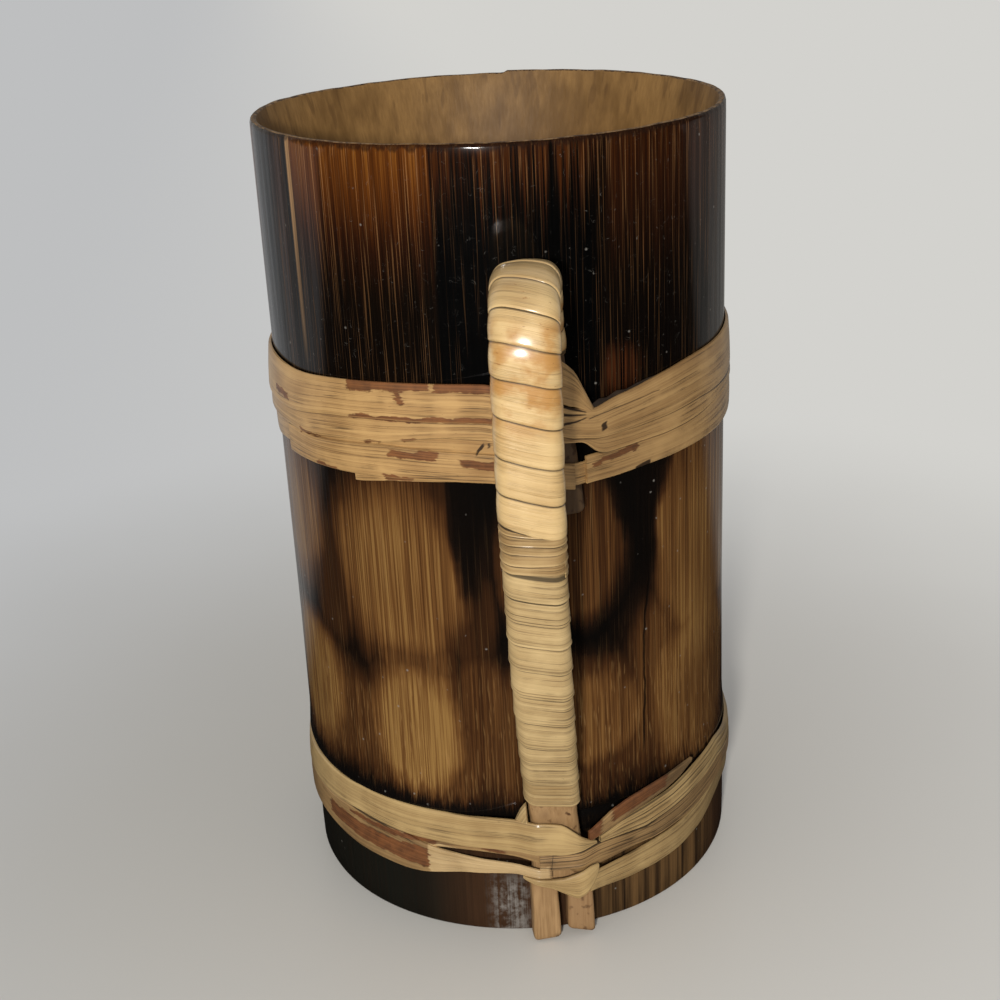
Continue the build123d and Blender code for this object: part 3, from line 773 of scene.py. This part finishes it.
def strip_material(
    name, light, dark, gloss, stained=False, lines=0.4, patches=(), marks=(), fresh=(), rough=0.5,
    streak=1.0, ridged=0.04, edge_fibres_and_highlight=0.3, twin=0.0, shaded=(), shaded_grooves=False,
):
    """Split bamboo: grain runs the strip's length, with the skin's colour left on it in patches."""
    material, shade = new_material(name)
    spot = measured(shade)
    x, y, up = spot.parts()
    turn = round_cup(x, y)

    def marked(name):
        """What the mesh holds under a name."""
        return shade.node("Attribute", {"attribute_name": name}, {}, "Fac")

    def darker(share):
        """The strip's dark colour, made darker still."""
        return tone(*(share * value for value in dark))

    def grain(along_scale, across_scale, detail):
        """Noise drawn out along the strip, different in each turn."""
        values = {0: along * along_scale, 1: across * across_scale, 2: number * 1.37}
        return shade.node("CombineXYZ", {}, values).noise(1.0, detail, 0.6)

    across, along, number, edge, seam = map(marked, ("across", "along", "number", "edge", "seam"))
    fine = grain(0.025, 34.0, 3.0)
    broad = grain(0.03, 6.0, 2.0)
    thread = grain(0.012, 7.0, 2.0)
    fleck = grain(0.9, 16.0, 2.0)
    torn = grain(0.25, 9.0, 3.0)
    cloud = spot.noise(0.14, 3.0)
    ragged = spot.noise(0.55, 4.0)
    tint = (fine * 0.45 * streak + broad * 0.4 + cloud * 0.5).ease(0.40, 0.95)
    wood = tint.mix(tone(*light), tone(*dark))
    split = abs(thread - 0.5).ease(0.020, 0.006).over(fine.ease(0.64, 0.70) * 0.5)
    split = split * (cloud + broad * 0.4).ease(0.55, 0.80)
    wood = (split * lines).mix(wood, darker(0.55))
    if stained:
        pool = spot.noise(0.34, 3.0) * 0.7 + cloud * 0.4 + seam.ease(3.5, 0.0) * 0.15
        amber = (pool + x.ease(-6, 1) * 0.04).ease(0.50, 0.72)
        amber = amber * (up.within(101, 108, 117.5, 121) * 0.92 + 0.05)
        wood = (amber * 0.8).mix(wood, tone(184, 128, 58))
        # Painted shade: the top of the arch is darker and greyer.
        wood = (up.ease(120.5, 123.0) * (0.04 + broad * 0.32)).mix(wood, tone(142, 118, 80))
        dots = fleck.ease(0.68, 0.74) * (up.ease(104, 110) * 0.7 + 0.3)
        wood = (dots * 0.7).mix(wood, tone(150, 96, 46))
    else:
        wood = (fleck.ease(0.70, 0.77) * 0.45).mix(wood, darker(0.66))

    def patch(turn_0, turn_1, low_0, high_0, low_1, high_1, rag=1.0):
        """1 in a ragged patch between two angles, with straight low and high edges between them."""
        here = turn + (torn - 0.5) * (5 * rag)
        height = up + (ragged - 0.5) * (1.1 * rag) + (torn - 0.5) * (1.1 * rag)
        share = (turn - turn_0) / (turn_1 - turn_0)
        above = height - share * (low_1 - low_0) - low_0
        below = share * (high_1 - high_0) + high_0 - height
        inside = here.within(turn_0 - 0.3, turn_0 + 0.3, turn_1 - 0.3, turn_1 + 0.3)
        return inside * above.ease(-0.1, 0.1) * below.ease(-0.1, 0.1)

    if twin:
        pair = abs(edge - 0.6).ease(0.12, 0.03).over(abs(edge - 1.2).ease(0.10, 0.02))
        wood = (pair * broad.ease(0.42, 0.56) * twin).mix(wood, darker(0.5))
    relief = (fine - 0.5) * ridged + (broad - 0.5) * 0.05 - split * 0.03
    roughness = rough + fine * 0.12
    if fresh:
        wood = (patch(*fresh, 0.3) * 0.8).mix(wood, tint.mix(tone(214, 186, 138), tone(184, 152, 104)))
    if patches:
        brown = patch(*patches[0]).over(*(patch(*place) for place in patches[1:]))
        bark = (fine * 0.7 + ragged * 0.4).ease(0.4, 0.75).mix(tone(130, 78, 38), tone(74, 40, 19))
        wood = (brown * 0.93).mix(wood, bark)
        relief = relief + brown * 0.05
        roughness = roughness + brown * 0.12
    if shaded_grooves:
        # Painted shade: the grooves between the ribs are darker the deeper they are.
        groove = marked("groove").ease(0.25, 0.75) * (0.45 + broad * 0.7)
        wood = groove.mix(wood, darker(0.34))
    if shaded:
        wood = (turn.ease(*shaded[:2]) * shaded[2]).mix(wood, darker(0.42))
    # Painted shadow: each strip is darker just below the edge of the strip that lies over it.
    seam_shadow = seam.within(-0.9, -0.5, 0.05, 0.36) * (0.6 + broad * 0.7)
    wood = seam_shadow.mix(wood, darker(0.40))
    # The low edge of each strip is lighter: partly pale fibres, partly a painted highlight on its
    # rounded edge.
    lip = edge.within(0.03, 0.10, 0.18, 0.32) * edge_fibres_and_highlight
    wood = lip.mix(wood, tone(*(min(1.06 * value, 250) for value in light)))
    # Near-black marks: some the strip's own, such as a knot; others painted shadow in gaps and folds.
    if marks:
        dark_marks_and_shadow = patch(*marks[0], 0.2).over(*(patch(*place, 0.2) for place in marks[1:]))
        wood = (dark_marks_and_shadow * 0.92).mix(wood, tone(34, 20, 14))
    varnish = {"Coat Weight": gloss + cloud * gloss * 0.3}
    surface(shade, wood, roughness, relief, varied=varnish, Coat_Roughness=0.2, Specular_IOR_Level=0.4)
    return material


# The amber strip's near-black mark is painted shadow in the gap at the top of the join.
amber_strip = strip_material(
    "amber_strip", (226, 194, 138), (186, 148, 92), 0.8, stained=True, lines=0.25, rough=0.36,
    streak=0.7, ridged=0.15, edge_fibres_and_highlight=0.05, marks=((-9.6, -4.9, 89.3, 90.0, 87.7, 88.0),),
)
rough_strip = strip_material(
    "rough_strip", (200, 170, 118), (142, 110, 66), 0.15, lines=0.7, rough=0.58, streak=1.3
)
pale_strip = strip_material(
    "pale_strip", (214, 186, 134), (160, 130, 84), 0.25, lines=0.7, rough=0.48, ridged=0.07, twin=0.6
)
for piece, finish, slot, node in (
    (wrap_upper, amber_strip, "amber_strip", "handle_wrap_upper"),
    (wrap_join, rough_strip, "rough_strip", "handle_wrap_join"),
    (wrap_lower, pale_strip, "pale_strip", "handle_wrap_lower"),
):
    piece.data.materials.append(finish)
    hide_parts(node)


# Upper lashing
# One long strip pulled taut two and a half times round the cup and over the short leg, on a strip
# beneath, with a short strip, a slanting tie and a torn sliver above it at the right. Patches of
# brown skin are still on the strips.
band_thick = 0.5
band_radius = 40.1
leg_face = 44.0
leg_bevel = 1.0
rib_relief = 0.15


def leg_corners(side, half):
    """Corners of a leg of the core, as places to the right and outward."""
    face, edge = leg_face, leg_face - leg_bevel
    left, right = side - half, side + half
    return [(left, edge), (left + leg_bevel, face), (right - leg_bevel, face), (right, edge)]


def upper_leg(heights):
    """Corners of the short leg at heights."""
    return leg_corners(short_leg_side(heights), 4.5)


def lower_leg(heights):
    """Corners of the long leg's wide foot at heights."""
    flare = (foot_wide - waist_wide) * np.clip(heights / flare_height, 0, 1)
    return leg_corners(long_leg_side(heights), (foot_wide - flare) / 2)


def taut(angles, heights, radius, aside, leg):
    """Distance from the axis and way out of a strip pulled taut round the wall and a leg's corners."""
    steps = np.radians(np.arange(-44, 44.1, 0.5))
    facing = np.radians(np.mod(angles + 180, 360) - 180)[:, None, None] + steps
    reach = radius + aside * np.sin(facing) + 0 * heights[..., None]
    for right, out in leg(heights):
        reach = np.maximum(reach, right[..., None] * np.sin(facing) + out * np.cos(facing))
    distance = reach / np.cos(steps)
    best = distance.argmin(-1)
    turned = steps[best]
    for _ in range(3):
        turned = (np.roll(turned, 1, 0) + turned + np.roll(turned, -1, 0)) / 3
    return distance.min(-1), np.radians(angles)[:, None] + turned


def strap(
    name, rows, leg, seed, soften=2.5, thick=band_thick, waver=0.12, radius=band_radius, aside=0.0,
    cover=(), ribs=(),
):
    """A strip round the cup. Its rows hold the angle, the low and high edge, and the lift of the low
    edge, then that of the high edge where it differs. Cover is the low edge of what lies over it, by
    angle; ribs are how many it has, and how far they stand out, by angle."""
    table = np.array([(*row, row[3])[:5] for row in rows], float)
    angles = np.append(np.arange(table[0, 0], table[-1, 0], 0.75), table[-1, 0])
    spread = np.arange(-soften, soften + 0.1, soften / 4)
    weights = np.exp(-((spread / soften) ** 2) * 2)
    weights /= weights.sum()
    values = []
    for k in range(1, 5):
        held = [np.interp(angles + step, table[:, 0], table[:, k]) for step in spread]
        values.append((np.array(held) * weights[:, None]).sum(0)[:, None])
    low, high, lift_low, lift_high = values
    low = low + waver * ripple(angles, 0.11, seed)[:, None]
    high = high + waver * ripple(angles, 0.09, seed + 3)[:, None]
    on_top = over_places
    if ribs:
        on_top = np.concatenate([over_places[:3], np.linspace(0.06, 0.94, 36), over_places[-3:]])
    places = np.concatenate([on_top, under_places])
    over = np.arange(len(places)) < len(on_top)
    heights = low + (high - low) * places
    distance, facing = taut(angles, heights, radius, aside, leg)
    turned = np.radians(angles)[:, None]
    rounded = 0.16 * np.exp(-((places / 0.03) ** 2)) + 0.16 * np.exp(-(((1 - places) / 0.03) ** 2))
    lift = lift_low + (lift_high - lift_low) * places
    ribbed = 0 * heights
    if ribs:
        wander = 1.4 * ripple(angles, 0.06, seed)[:, None]
        walk = places * 2 * math.pi * ribs[0]
        ribbed = 0.55 * np.sin(walk + wander) + 0.45 * np.sin(1.63 * walk + 2.2 - 1.8 * wander)
        ribbed = np.interp(angles, *zip(*ribs[1]))[:, None] * ribbed
    proud = thick + 0.08 * np.sin(math.pi * places) - rounded + rib_relief * ribbed
    lift = lift + np.where(over, proud, 0)
    right = np.sin(turned) * distance + np.sin(facing) * lift
    out = np.cos(turned) * distance + np.cos(facing) * lift
    next_round = np.interp(angles + 360, angles, low[:, 0], right=1000.0)
    above = np.interp(angles, *zip(*cover)) if cover else 1000.0
    covered = np.clip(np.minimum(next_round, above)[:, None] - heights, -9, 9)
    middle = np.stack([right[:, 5], out[:, 5]], 1)
    walked = np.concatenate([[0], np.cumsum(np.linalg.norm(np.diff(middle, axis=0), axis=1))])
    marks = {
        "across": places + 0 * heights,
        "along": walked[:, None] + 0 * heights,
        "number": np.full(heights.shape, seed * 2.7),
        "edge": heights - low,
        "seam": covered,
        "groove": np.clip(-ribbed, 0, 1),
    }
    return laid_mesh(name, np.stack([right, -out, heights], 2), marks, crease=65)


upper_under = strap(
    "upper_under",
    [
        (-45, 85.3, 89.5, 0.05), (-35, 86.4, 90.6, 0.05), (-22, 87.1, 91, 0.05),
        (-10, 87.9, 91.4, 0.05), (0, 87.4, 91, 0.05), (8, 86.9, 90.4, 0.05), (31, 87, 90.8, 0.05),
        (110, 87.5, 92.5, 0.05), (180, 87.5, 93, 0.05), (240, 87, 92.5, 0.05),
        (277, 86.3, 91.8, 0.05), (290, 87.6, 93.4, 0.05), (305, 90, 94.6, 0.05),
        (315, 91, 95.6, 0.05), (326, 91.6, 96.2, 0.05), (338, 92, 96.6, 0.05),
        (350, 92.2, 97, 0.05), (357, 91.9, 96.4, 0.05),
    ],
    upper_leg, 1, thick=0.3,
)
upper_long = strap(
    "upper_long",
    [
        (8.5, 87, 91.5, 0.42, 0.4), (16, 86.5, 91.2, 0.42, 0.4), (31, 86.3, 90.9, 0.42, 0.4),
        (42, 86.4, 91.4, 0.4, 0.38), (58, 86.3, 92, 0.35, 0.3), (66, 86.5, 92.5, 0.35, 0.3),
        (110, 87.2, 92.8, 0.4, 0.35), (180, 87.6, 93.2, 0.4, 0.35), (240, 89, 93.8, 0.42, 0.3),
        (277, 90.9, 95, 0.45, 0.15), (291, 91.3, 95.6, 0.5, 0.15), (298, 91.3, 96, 0.6, 0.15),
        (312, 92.6, 97.2, 0.7, 0.2), (326, 93.3, 97.7, 0.7, 0.3), (336, 94.6, 97.8, 0.7, 0.4),
        (349, 95.7, 98.3, 0.8, 0.5), (360, 94.8, 96.4, 0.9, 0.6), (366, 94.5, 95.8, 0.9, 0.6),
        (368, 94.1, 95.4, 0.9, 0.5), (370.5, 91.7, 95.1, 0.9, 0.5), (373, 91, 94.8, 0.9, 0.5),
        (381, 90.9, 94.1, 0.9, 0.4), (391, 90.8, 94.2, 0.8, 0.3), (405, 91.3, 94.5, 0.6, 0.2),
        (418, 92.4, 94.6, 0.5, 0.15), (470, 92.8, 96.8, 0.5, 0.15), (540, 93.2, 99, 0.5, 0.15),
        (600, 94, 101.2, 0.7, 0.08), (639, 94, 101.7, 0.75, 0.08), (648, 94.2, 101.6, 0.8, 0.08),
        (655, 94.6, 101.5, 0.8, 0.08), (661, 95.2, 101.7, 0.85, 0.08),
        (670, 96.3, 102.3, 0.9, 0.1), (686, 97.3, 103.1, 1, 0.2), (699, 97.5, 103.6, 1, 0.3),
        (710, 98, 104.2, 1.1, 0.4), (720, 96.6, 101.8, 1.2, 0.6), (727, 94.9, 99.6, 1.2, 0.8),
        (731, 94, 98.8, 1.2, 0.8), (736, 93.8, 99.6, 1.2, 0.7), (743, 93.7, 100, 1, 0.5),
        (751, 93.8, 100.8, 0.8, 0.3), (759, 94, 101.5, 0.6, 0.15), (765, 94.1, 101.8, 0.5, 0.1),
        (781, 93.7, 102, 0.45, 0.08), (788, 93.9, 102.2, 0.45, 0.08), (830, 96.4, 102.4, 0.6, 0.1),
        (880, 98.6, 102.2, 0.9, 0.6), (900, 99.4, 101.6, 0.9, 0.6),
    ],
    upper_leg, 2,
)
upper_short = strap(
    "upper_short",
    [
        (-70, 86.3, 91.5, 0.42, 0.4), (-58, 86.4, 91.2, 0.42, 0.4), (-46, 86.7, 92, 0.42, 0.4),
        (-35, 87, 92.6, 0.42, 0.4), (-24, 87.3, 92.4, 0.42, 0.4), (-10, 87.8, 92.6, 0.45),
        (0, 87.2, 91.6, 0.45), (6, 86.6, 90.6, 0.45),
    ],
    upper_leg, 3, soften=1.2,
    cover=((-70, 91.3), (-48, 92.6), (-34, 93.3), (-24, 94.6), (-11, 95.7), (6, 94.5)),
)
upper_tie = strap(
    "upper_tie",
    [
        (-4, 103, 106.8, 0.3, 0.1), (0, 101.6, 107.4, 0.3, 0.1), (4, 100.6, 107.6, 0.4, 0.1),
        (7, 99.6, 105.2, 0.6, 0.1), (9, 98.6, 101.8, 0.8, 0.3), (10.8, 97.8, 98.9, 0.9, 0.5),
    ],
    upper_leg, 4, soften=0.8, waver=0.03,
)
upper_torn = strap(
    "upper_torn",
    [
        (9.8, 98, 99, 0.5, 0.3), (13, 98.4, 99.9, 0.5, 0.2), (15, 98.5, 99.6, 0.4, 0.2),
        (18, 98.8, 100.2, 0.3, 0.1), (21, 99, 99.9, 0.3, 0.1), (24, 99.2, 100.4, 0.2, 0.1),
        (27, 99.6, 100.6, 0.1, 0.05), (31, 100, 100.7, 0.1, 0.05),
    ],
    upper_leg, 12, soften=0.7, thick=0.3,
)
# The torn sliver is dark grey-brown as painted shade: it stands in shadow above the strip.
shaded_torn_strip = strip_material(
    "shaded_torn_strip", (92, 72, 52), (34, 24, 17), 0.2, lines=0.9, rough=0.6, streak=1.5
)
upper_torn.data.materials.append(shaded_torn_strip)
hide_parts("upper_band_outer")
band_strip = strip_material(
    "band_strip", (206, 166, 108), (152, 114, 68), 0.30, lines=0.75, rough=0.44, shaded=(2, 11, 0.28),
    patches=(
        (-45, -24, 101.2, 104, 102.5, 105), (-22.5, -9, 102.3, 105, 103, 106),
        (-44, -9, 96.6, 97.4, 97.9, 99.1), (-34.5, -22.9, 90.8, 92.1, 90.8, 92.1),
        (-17.8, -9, 90.2, 91.6, 89.9, 91.5), (-36.5, -29.2, 86.2, 87.8, 86.8, 87.6),
        (-63.4, -56, 90.9, 92, 91.3, 91.9), (-41, -36.3, 92.6, 93.3, 93, 93.5),
        (-31, -27.5, 93.6, 94.2, 94.1, 94.6), (-57, -49.8, 86.2, 87.2, 86.4, 87),
        (-76, -68, 96.3, 97.3, 95.6, 96.8), (-31.5, -30, 99.9, 102.1, 99.9, 102.1),
        (10.5, 23, 89.3, 90.1, 89.7, 90.9),
    ),
    # Near-black marks: a knot and other dark spots, painted shade in the folds of the tie, and painted
    # shadow under the torn sliver.
    marks=(
        (-13.9, -12.2, 92.2, 92.9, 93.7, 94.5), (-11.4, -10.9, 93.5, 94.3, 93.7, 94.5),
        (12.6, 14, 95, 96.2, 95.3, 96.5), (22.3, 27, 86, 86.8, 86, 87.2),
        (3, 8.8, 100.6, 101.2, 98.75, 98.95), (3, 8.8, 99.2, 99.7, 98.35, 98.5),
        (3, 8.8, 97.5, 98, 97.9, 98.05), (9.5, 30, 97.6, 97.75, 98.4, 98.5),
    ),
)
for piece, node in (
    (upper_under, "upper_band_inner"), (upper_long, "upper_band_outer"),
    (upper_short, "upper_band_short"), (upper_tie, "upper_tie"),
):
    piece.data.materials.append(band_strip)
    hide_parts(node)


# Lower lashing
# Strips drawn tight over the prongs: a wide one on top, a brown one with its skin on beneath it,
# a bundle that fans out to the right, a folded end, and a loose pointed end that stands off.
def lower_strap(name, rows, seed, **more):
    """A strip of the lower lashing: the foot beneath it is wider than the wall, and a little aside."""
    return strap(name, rows, lower_leg, seed, radius=band_radius + 0.25, aside=foot_lean, **more)


wide_low = (
    (-73, 18.3), (-59, 19.2), (-36, 18.6), (-21, 18.7), (-9, 19.7), (3, 19.1), (9.5, 19.2),
    (24, 17.5), (43, 19.7), (55, 21), (80, 18.8), (280, 18), (301, 19.2), (324, 18.6), (339, 18.7),
    (351, 19.7), (368, 19.7),
)
lower_under = lower_strap(
    "lower_under",
    [
        (-60, 13.4, 18.6, 0.03), (-36, 13.6, 18.9, 0.03), (-31, 16.9, 19.3, 0.1),
        (-20, 17.6, 19.5, 0.3), (-9, 18, 19.6, 0.4), (-2, 17, 19.4, 0.3), (4, 14.2, 19.2, 0.1),
        (30, 14, 19.2, 0.03), (110, 13.6, 19.2, 0.03), (180, 13.4, 19, 0.03),
        (250, 13.2, 18.8, 0.03), (290, 13.2, 18.6, 0.03),
    ],
    5, thick=0.3, cover=wide_low,
)
lower_wide = lower_strap(
    "lower_wide",
    [
        (9.5, 19.2, 20.4, 0.8), (16, 18.4, 21.4, 0.7), (24, 17.5, 21.8, 0.6),
        (33, 18.3, 22.6, 0.6, 0.5), (43, 19.7, 24.2, 0.6, 0.4), (55, 21, 25, 0.5, 0.2),
        (66, 19.8, 23.6, 0.45, 0.1), (80, 18.8, 23.2, 0.45, 0.05), (110, 18.6, 23.6, 0.5, 0.05),
        (180, 18.3, 23.8, 0.5, 0.05), (250, 18.2, 23.4, 0.5, 0.05), (280, 18, 23.5, 0.5, 0.05),
        (287, 18.3, 24.1, 0.5, 0.05), (301, 19.2, 24.2, 0.6, 0.05), (307, 19.4, 24.6, 0.6, 0.1),
        (324, 18.6, 24.5, 0.7, 0.2), (339, 18.7, 24.6, 0.8, 0.4), (351, 19.7, 25.7, 0.9, 0.6),
        (357, 19.6, 25.6, 1.1, 0.8), (361, 19, 25, 1.2, 1), (363, 19.1, 23.6, 1.2, 1.1),
        (365, 19.4, 21.6, 1.2), (368, 19.7, 20.1, 1.2),
    ],
    6, soften=1.6, ribs=(4, ((9, 0.9), (60, 1.0), (100, 0.12), (368, 0.12))),
)
lower_fan = lower_strap(
    "lower_fan",
    [
        (-4.5, 16.4, 19.4, 0.8), (-2, 16, 19.4, 0.85), (3, 15.7, 19.2, 0.9), (9, 15.9, 19.4, 0.8),
        (18, 15, 18.4, 0.7, 0.6), (27, 14.4, 18, 0.6, 0.5), (36, 15, 18.8, 0.55, 0.45),
        (48, 16.1, 20.4, 0.5, 0.4), (60, 17.4, 21, 0.45, 0.35), (80, 16, 19.6, 0.4, 0.35),
        (110, 14.5, 19.4, 0.4, 0.35), (180, 12.6, 18.8, 0.4, 0.35), (250, 12.4, 18.6, 0.4, 0.35),
        (290, 12.1, 18.4, 0.4, 0.35), (305, 11.3, 19.2, 0.4, 0.35), (314, 11.2, 19.2, 0.4, 0.35),
        (321, 11.1, 18.4, 0.4, 0.35), (326, 11.3, 17.4, 0.4, 0.35), (331, 12, 16.7, 0.4, 0.35),
        (337, 13, 16.4, 0.5, 0.4), (342, 13.5, 16.3, 0.6, 0.5), (351, 14.9, 16.8, 0.8),
        (358, 14.4, 16.2, 0.9),
    ],
    7, soften=1.6, cover=wide_low,
    ribs=(5, ((-5, 1.0), (90, 0.8), (150, 0.2), (300, 0.2), (358, 0.3))),
)
lower_bottom = lower_strap(
    "lower_bottom",
    [
        (6.5, 10.2, 13.6, 0.8), (9.4, 9.8, 13.4, 0.6), (18, 8.7, 13.2, 0.5), (27, 8.3, 13.4, 0.4),
        (36, 8.8, 13.9, 0.35), (46, 10.3, 15.2, 0.3), (54, 12.6, 16.8, 0.2),
        (60, 13.6, 17.8, 0.15), (80, 13, 17, 0.1), (110, 10.4, 14.4, 0.1), (180, 8.6, 12.4, 0.1),
        (230, 9, 12, 0.1), (250, 9.6, 11.6, 0.1),
    ],
    8, soften=1.8,
)
lower_fold = lower_strap(
    "lower_fold",
    [
        (-8, 14.4, 14.9, 1), (-2, 12.5, 14.2, 1.2), (1, 11, 14.2, 1.3), (4, 9.6, 14.8, 1.4, 1.3),
        (6, 10.8, 15.5, 1.3), (9, 14.6, 15.2, 1.1),
    ],
    9, soften=0.8, waver=0.0,
)
loose_end = lower_strap(
    "loose_end",
    [
        (6.5, 20.4, 22.4, 1.1), (10, 20.9, 23.6, 1.1, 1.2), (13, 21.2, 24.7, 1.1, 1.3),
        (18, 21.9, 25.6, 1.1, 1.4), (24, 22.7, 26.1, 1.1, 1.4), (30, 23.6, 26.6, 1.1, 1.4),
        (35, 24.8, 27.1, 1.2, 1.4), (39, 26.3, 27.2, 1.2, 1.4),
    ],
    10, soften=1.0, waver=0.05,
)
tail = lower_strap(
    "tail",
    [
        (-10, 20.4, 24, 0.1), (-9, 20.6, 26.2, 0.1), (-7.6, 21, 28.6, 0.2, 0.6),
        (-6.3, 23.6, 30.2, 0.2, 1.2),
    ],
    11, soften=0.4, waver=0.0,
)
skinned_strip = strip_material(
    "skinned_strip", (172, 138, 90), (112, 84, 52), 0.28, lines=0.85, rough=0.46,
    shaded=(14, 34, 0.33), shaded_grooves=True,
    patches=(
        (-68, -32.2, 14.2, 17.1, 12.6, 16.4), (-58, -30, 17.6, 18.3, 17.4, 18.6),
        (-22, -12, 18.4, 19, 18.2, 18.9), (13.2, 30, 22.4, 30, 24.4, 30),
        (5, 10.4, 19, 30, 20, 30),
    ),
    # Its near-black mark is painted shadow beneath the fanned bundle.
    marks=((-1.5, 8, 14.6, 15.4, 15.6, 15.9),),
    fresh=(-32.2, -2.4, 10.5, 17.7, 10.5, 17.0),
)
lower_strip = strip_material(
    "lower_strip", (198, 168, 114), (148, 118, 74), 0.30, lines=0.6, rough=0.44,
    shaded=(20, 46, 0.28), shaded_grooves=True,
)
for piece, finish, slot, node in (
    (lower_under, skinned_strip, "skinned_strip", "lower_band_inner"),
    (lower_wide, lower_strip, "band_strip", "lower_band_top"),
    (lower_fan, skinned_strip, "skinned_strip", "lower_band_middle"),
    (lower_bottom, lower_strip, "band_strip", "lower_band_bottom"),
    (lower_fold, lower_strip, "band_strip", "lower_band_fold"),
    (loose_end, skinned_strip, "skinned_strip", "lower_loose_end"),
    (tail, pale_strip, "pale_strip", "wrap_tail"),
):
    piece.data.materials.append(finish)
    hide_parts(node)
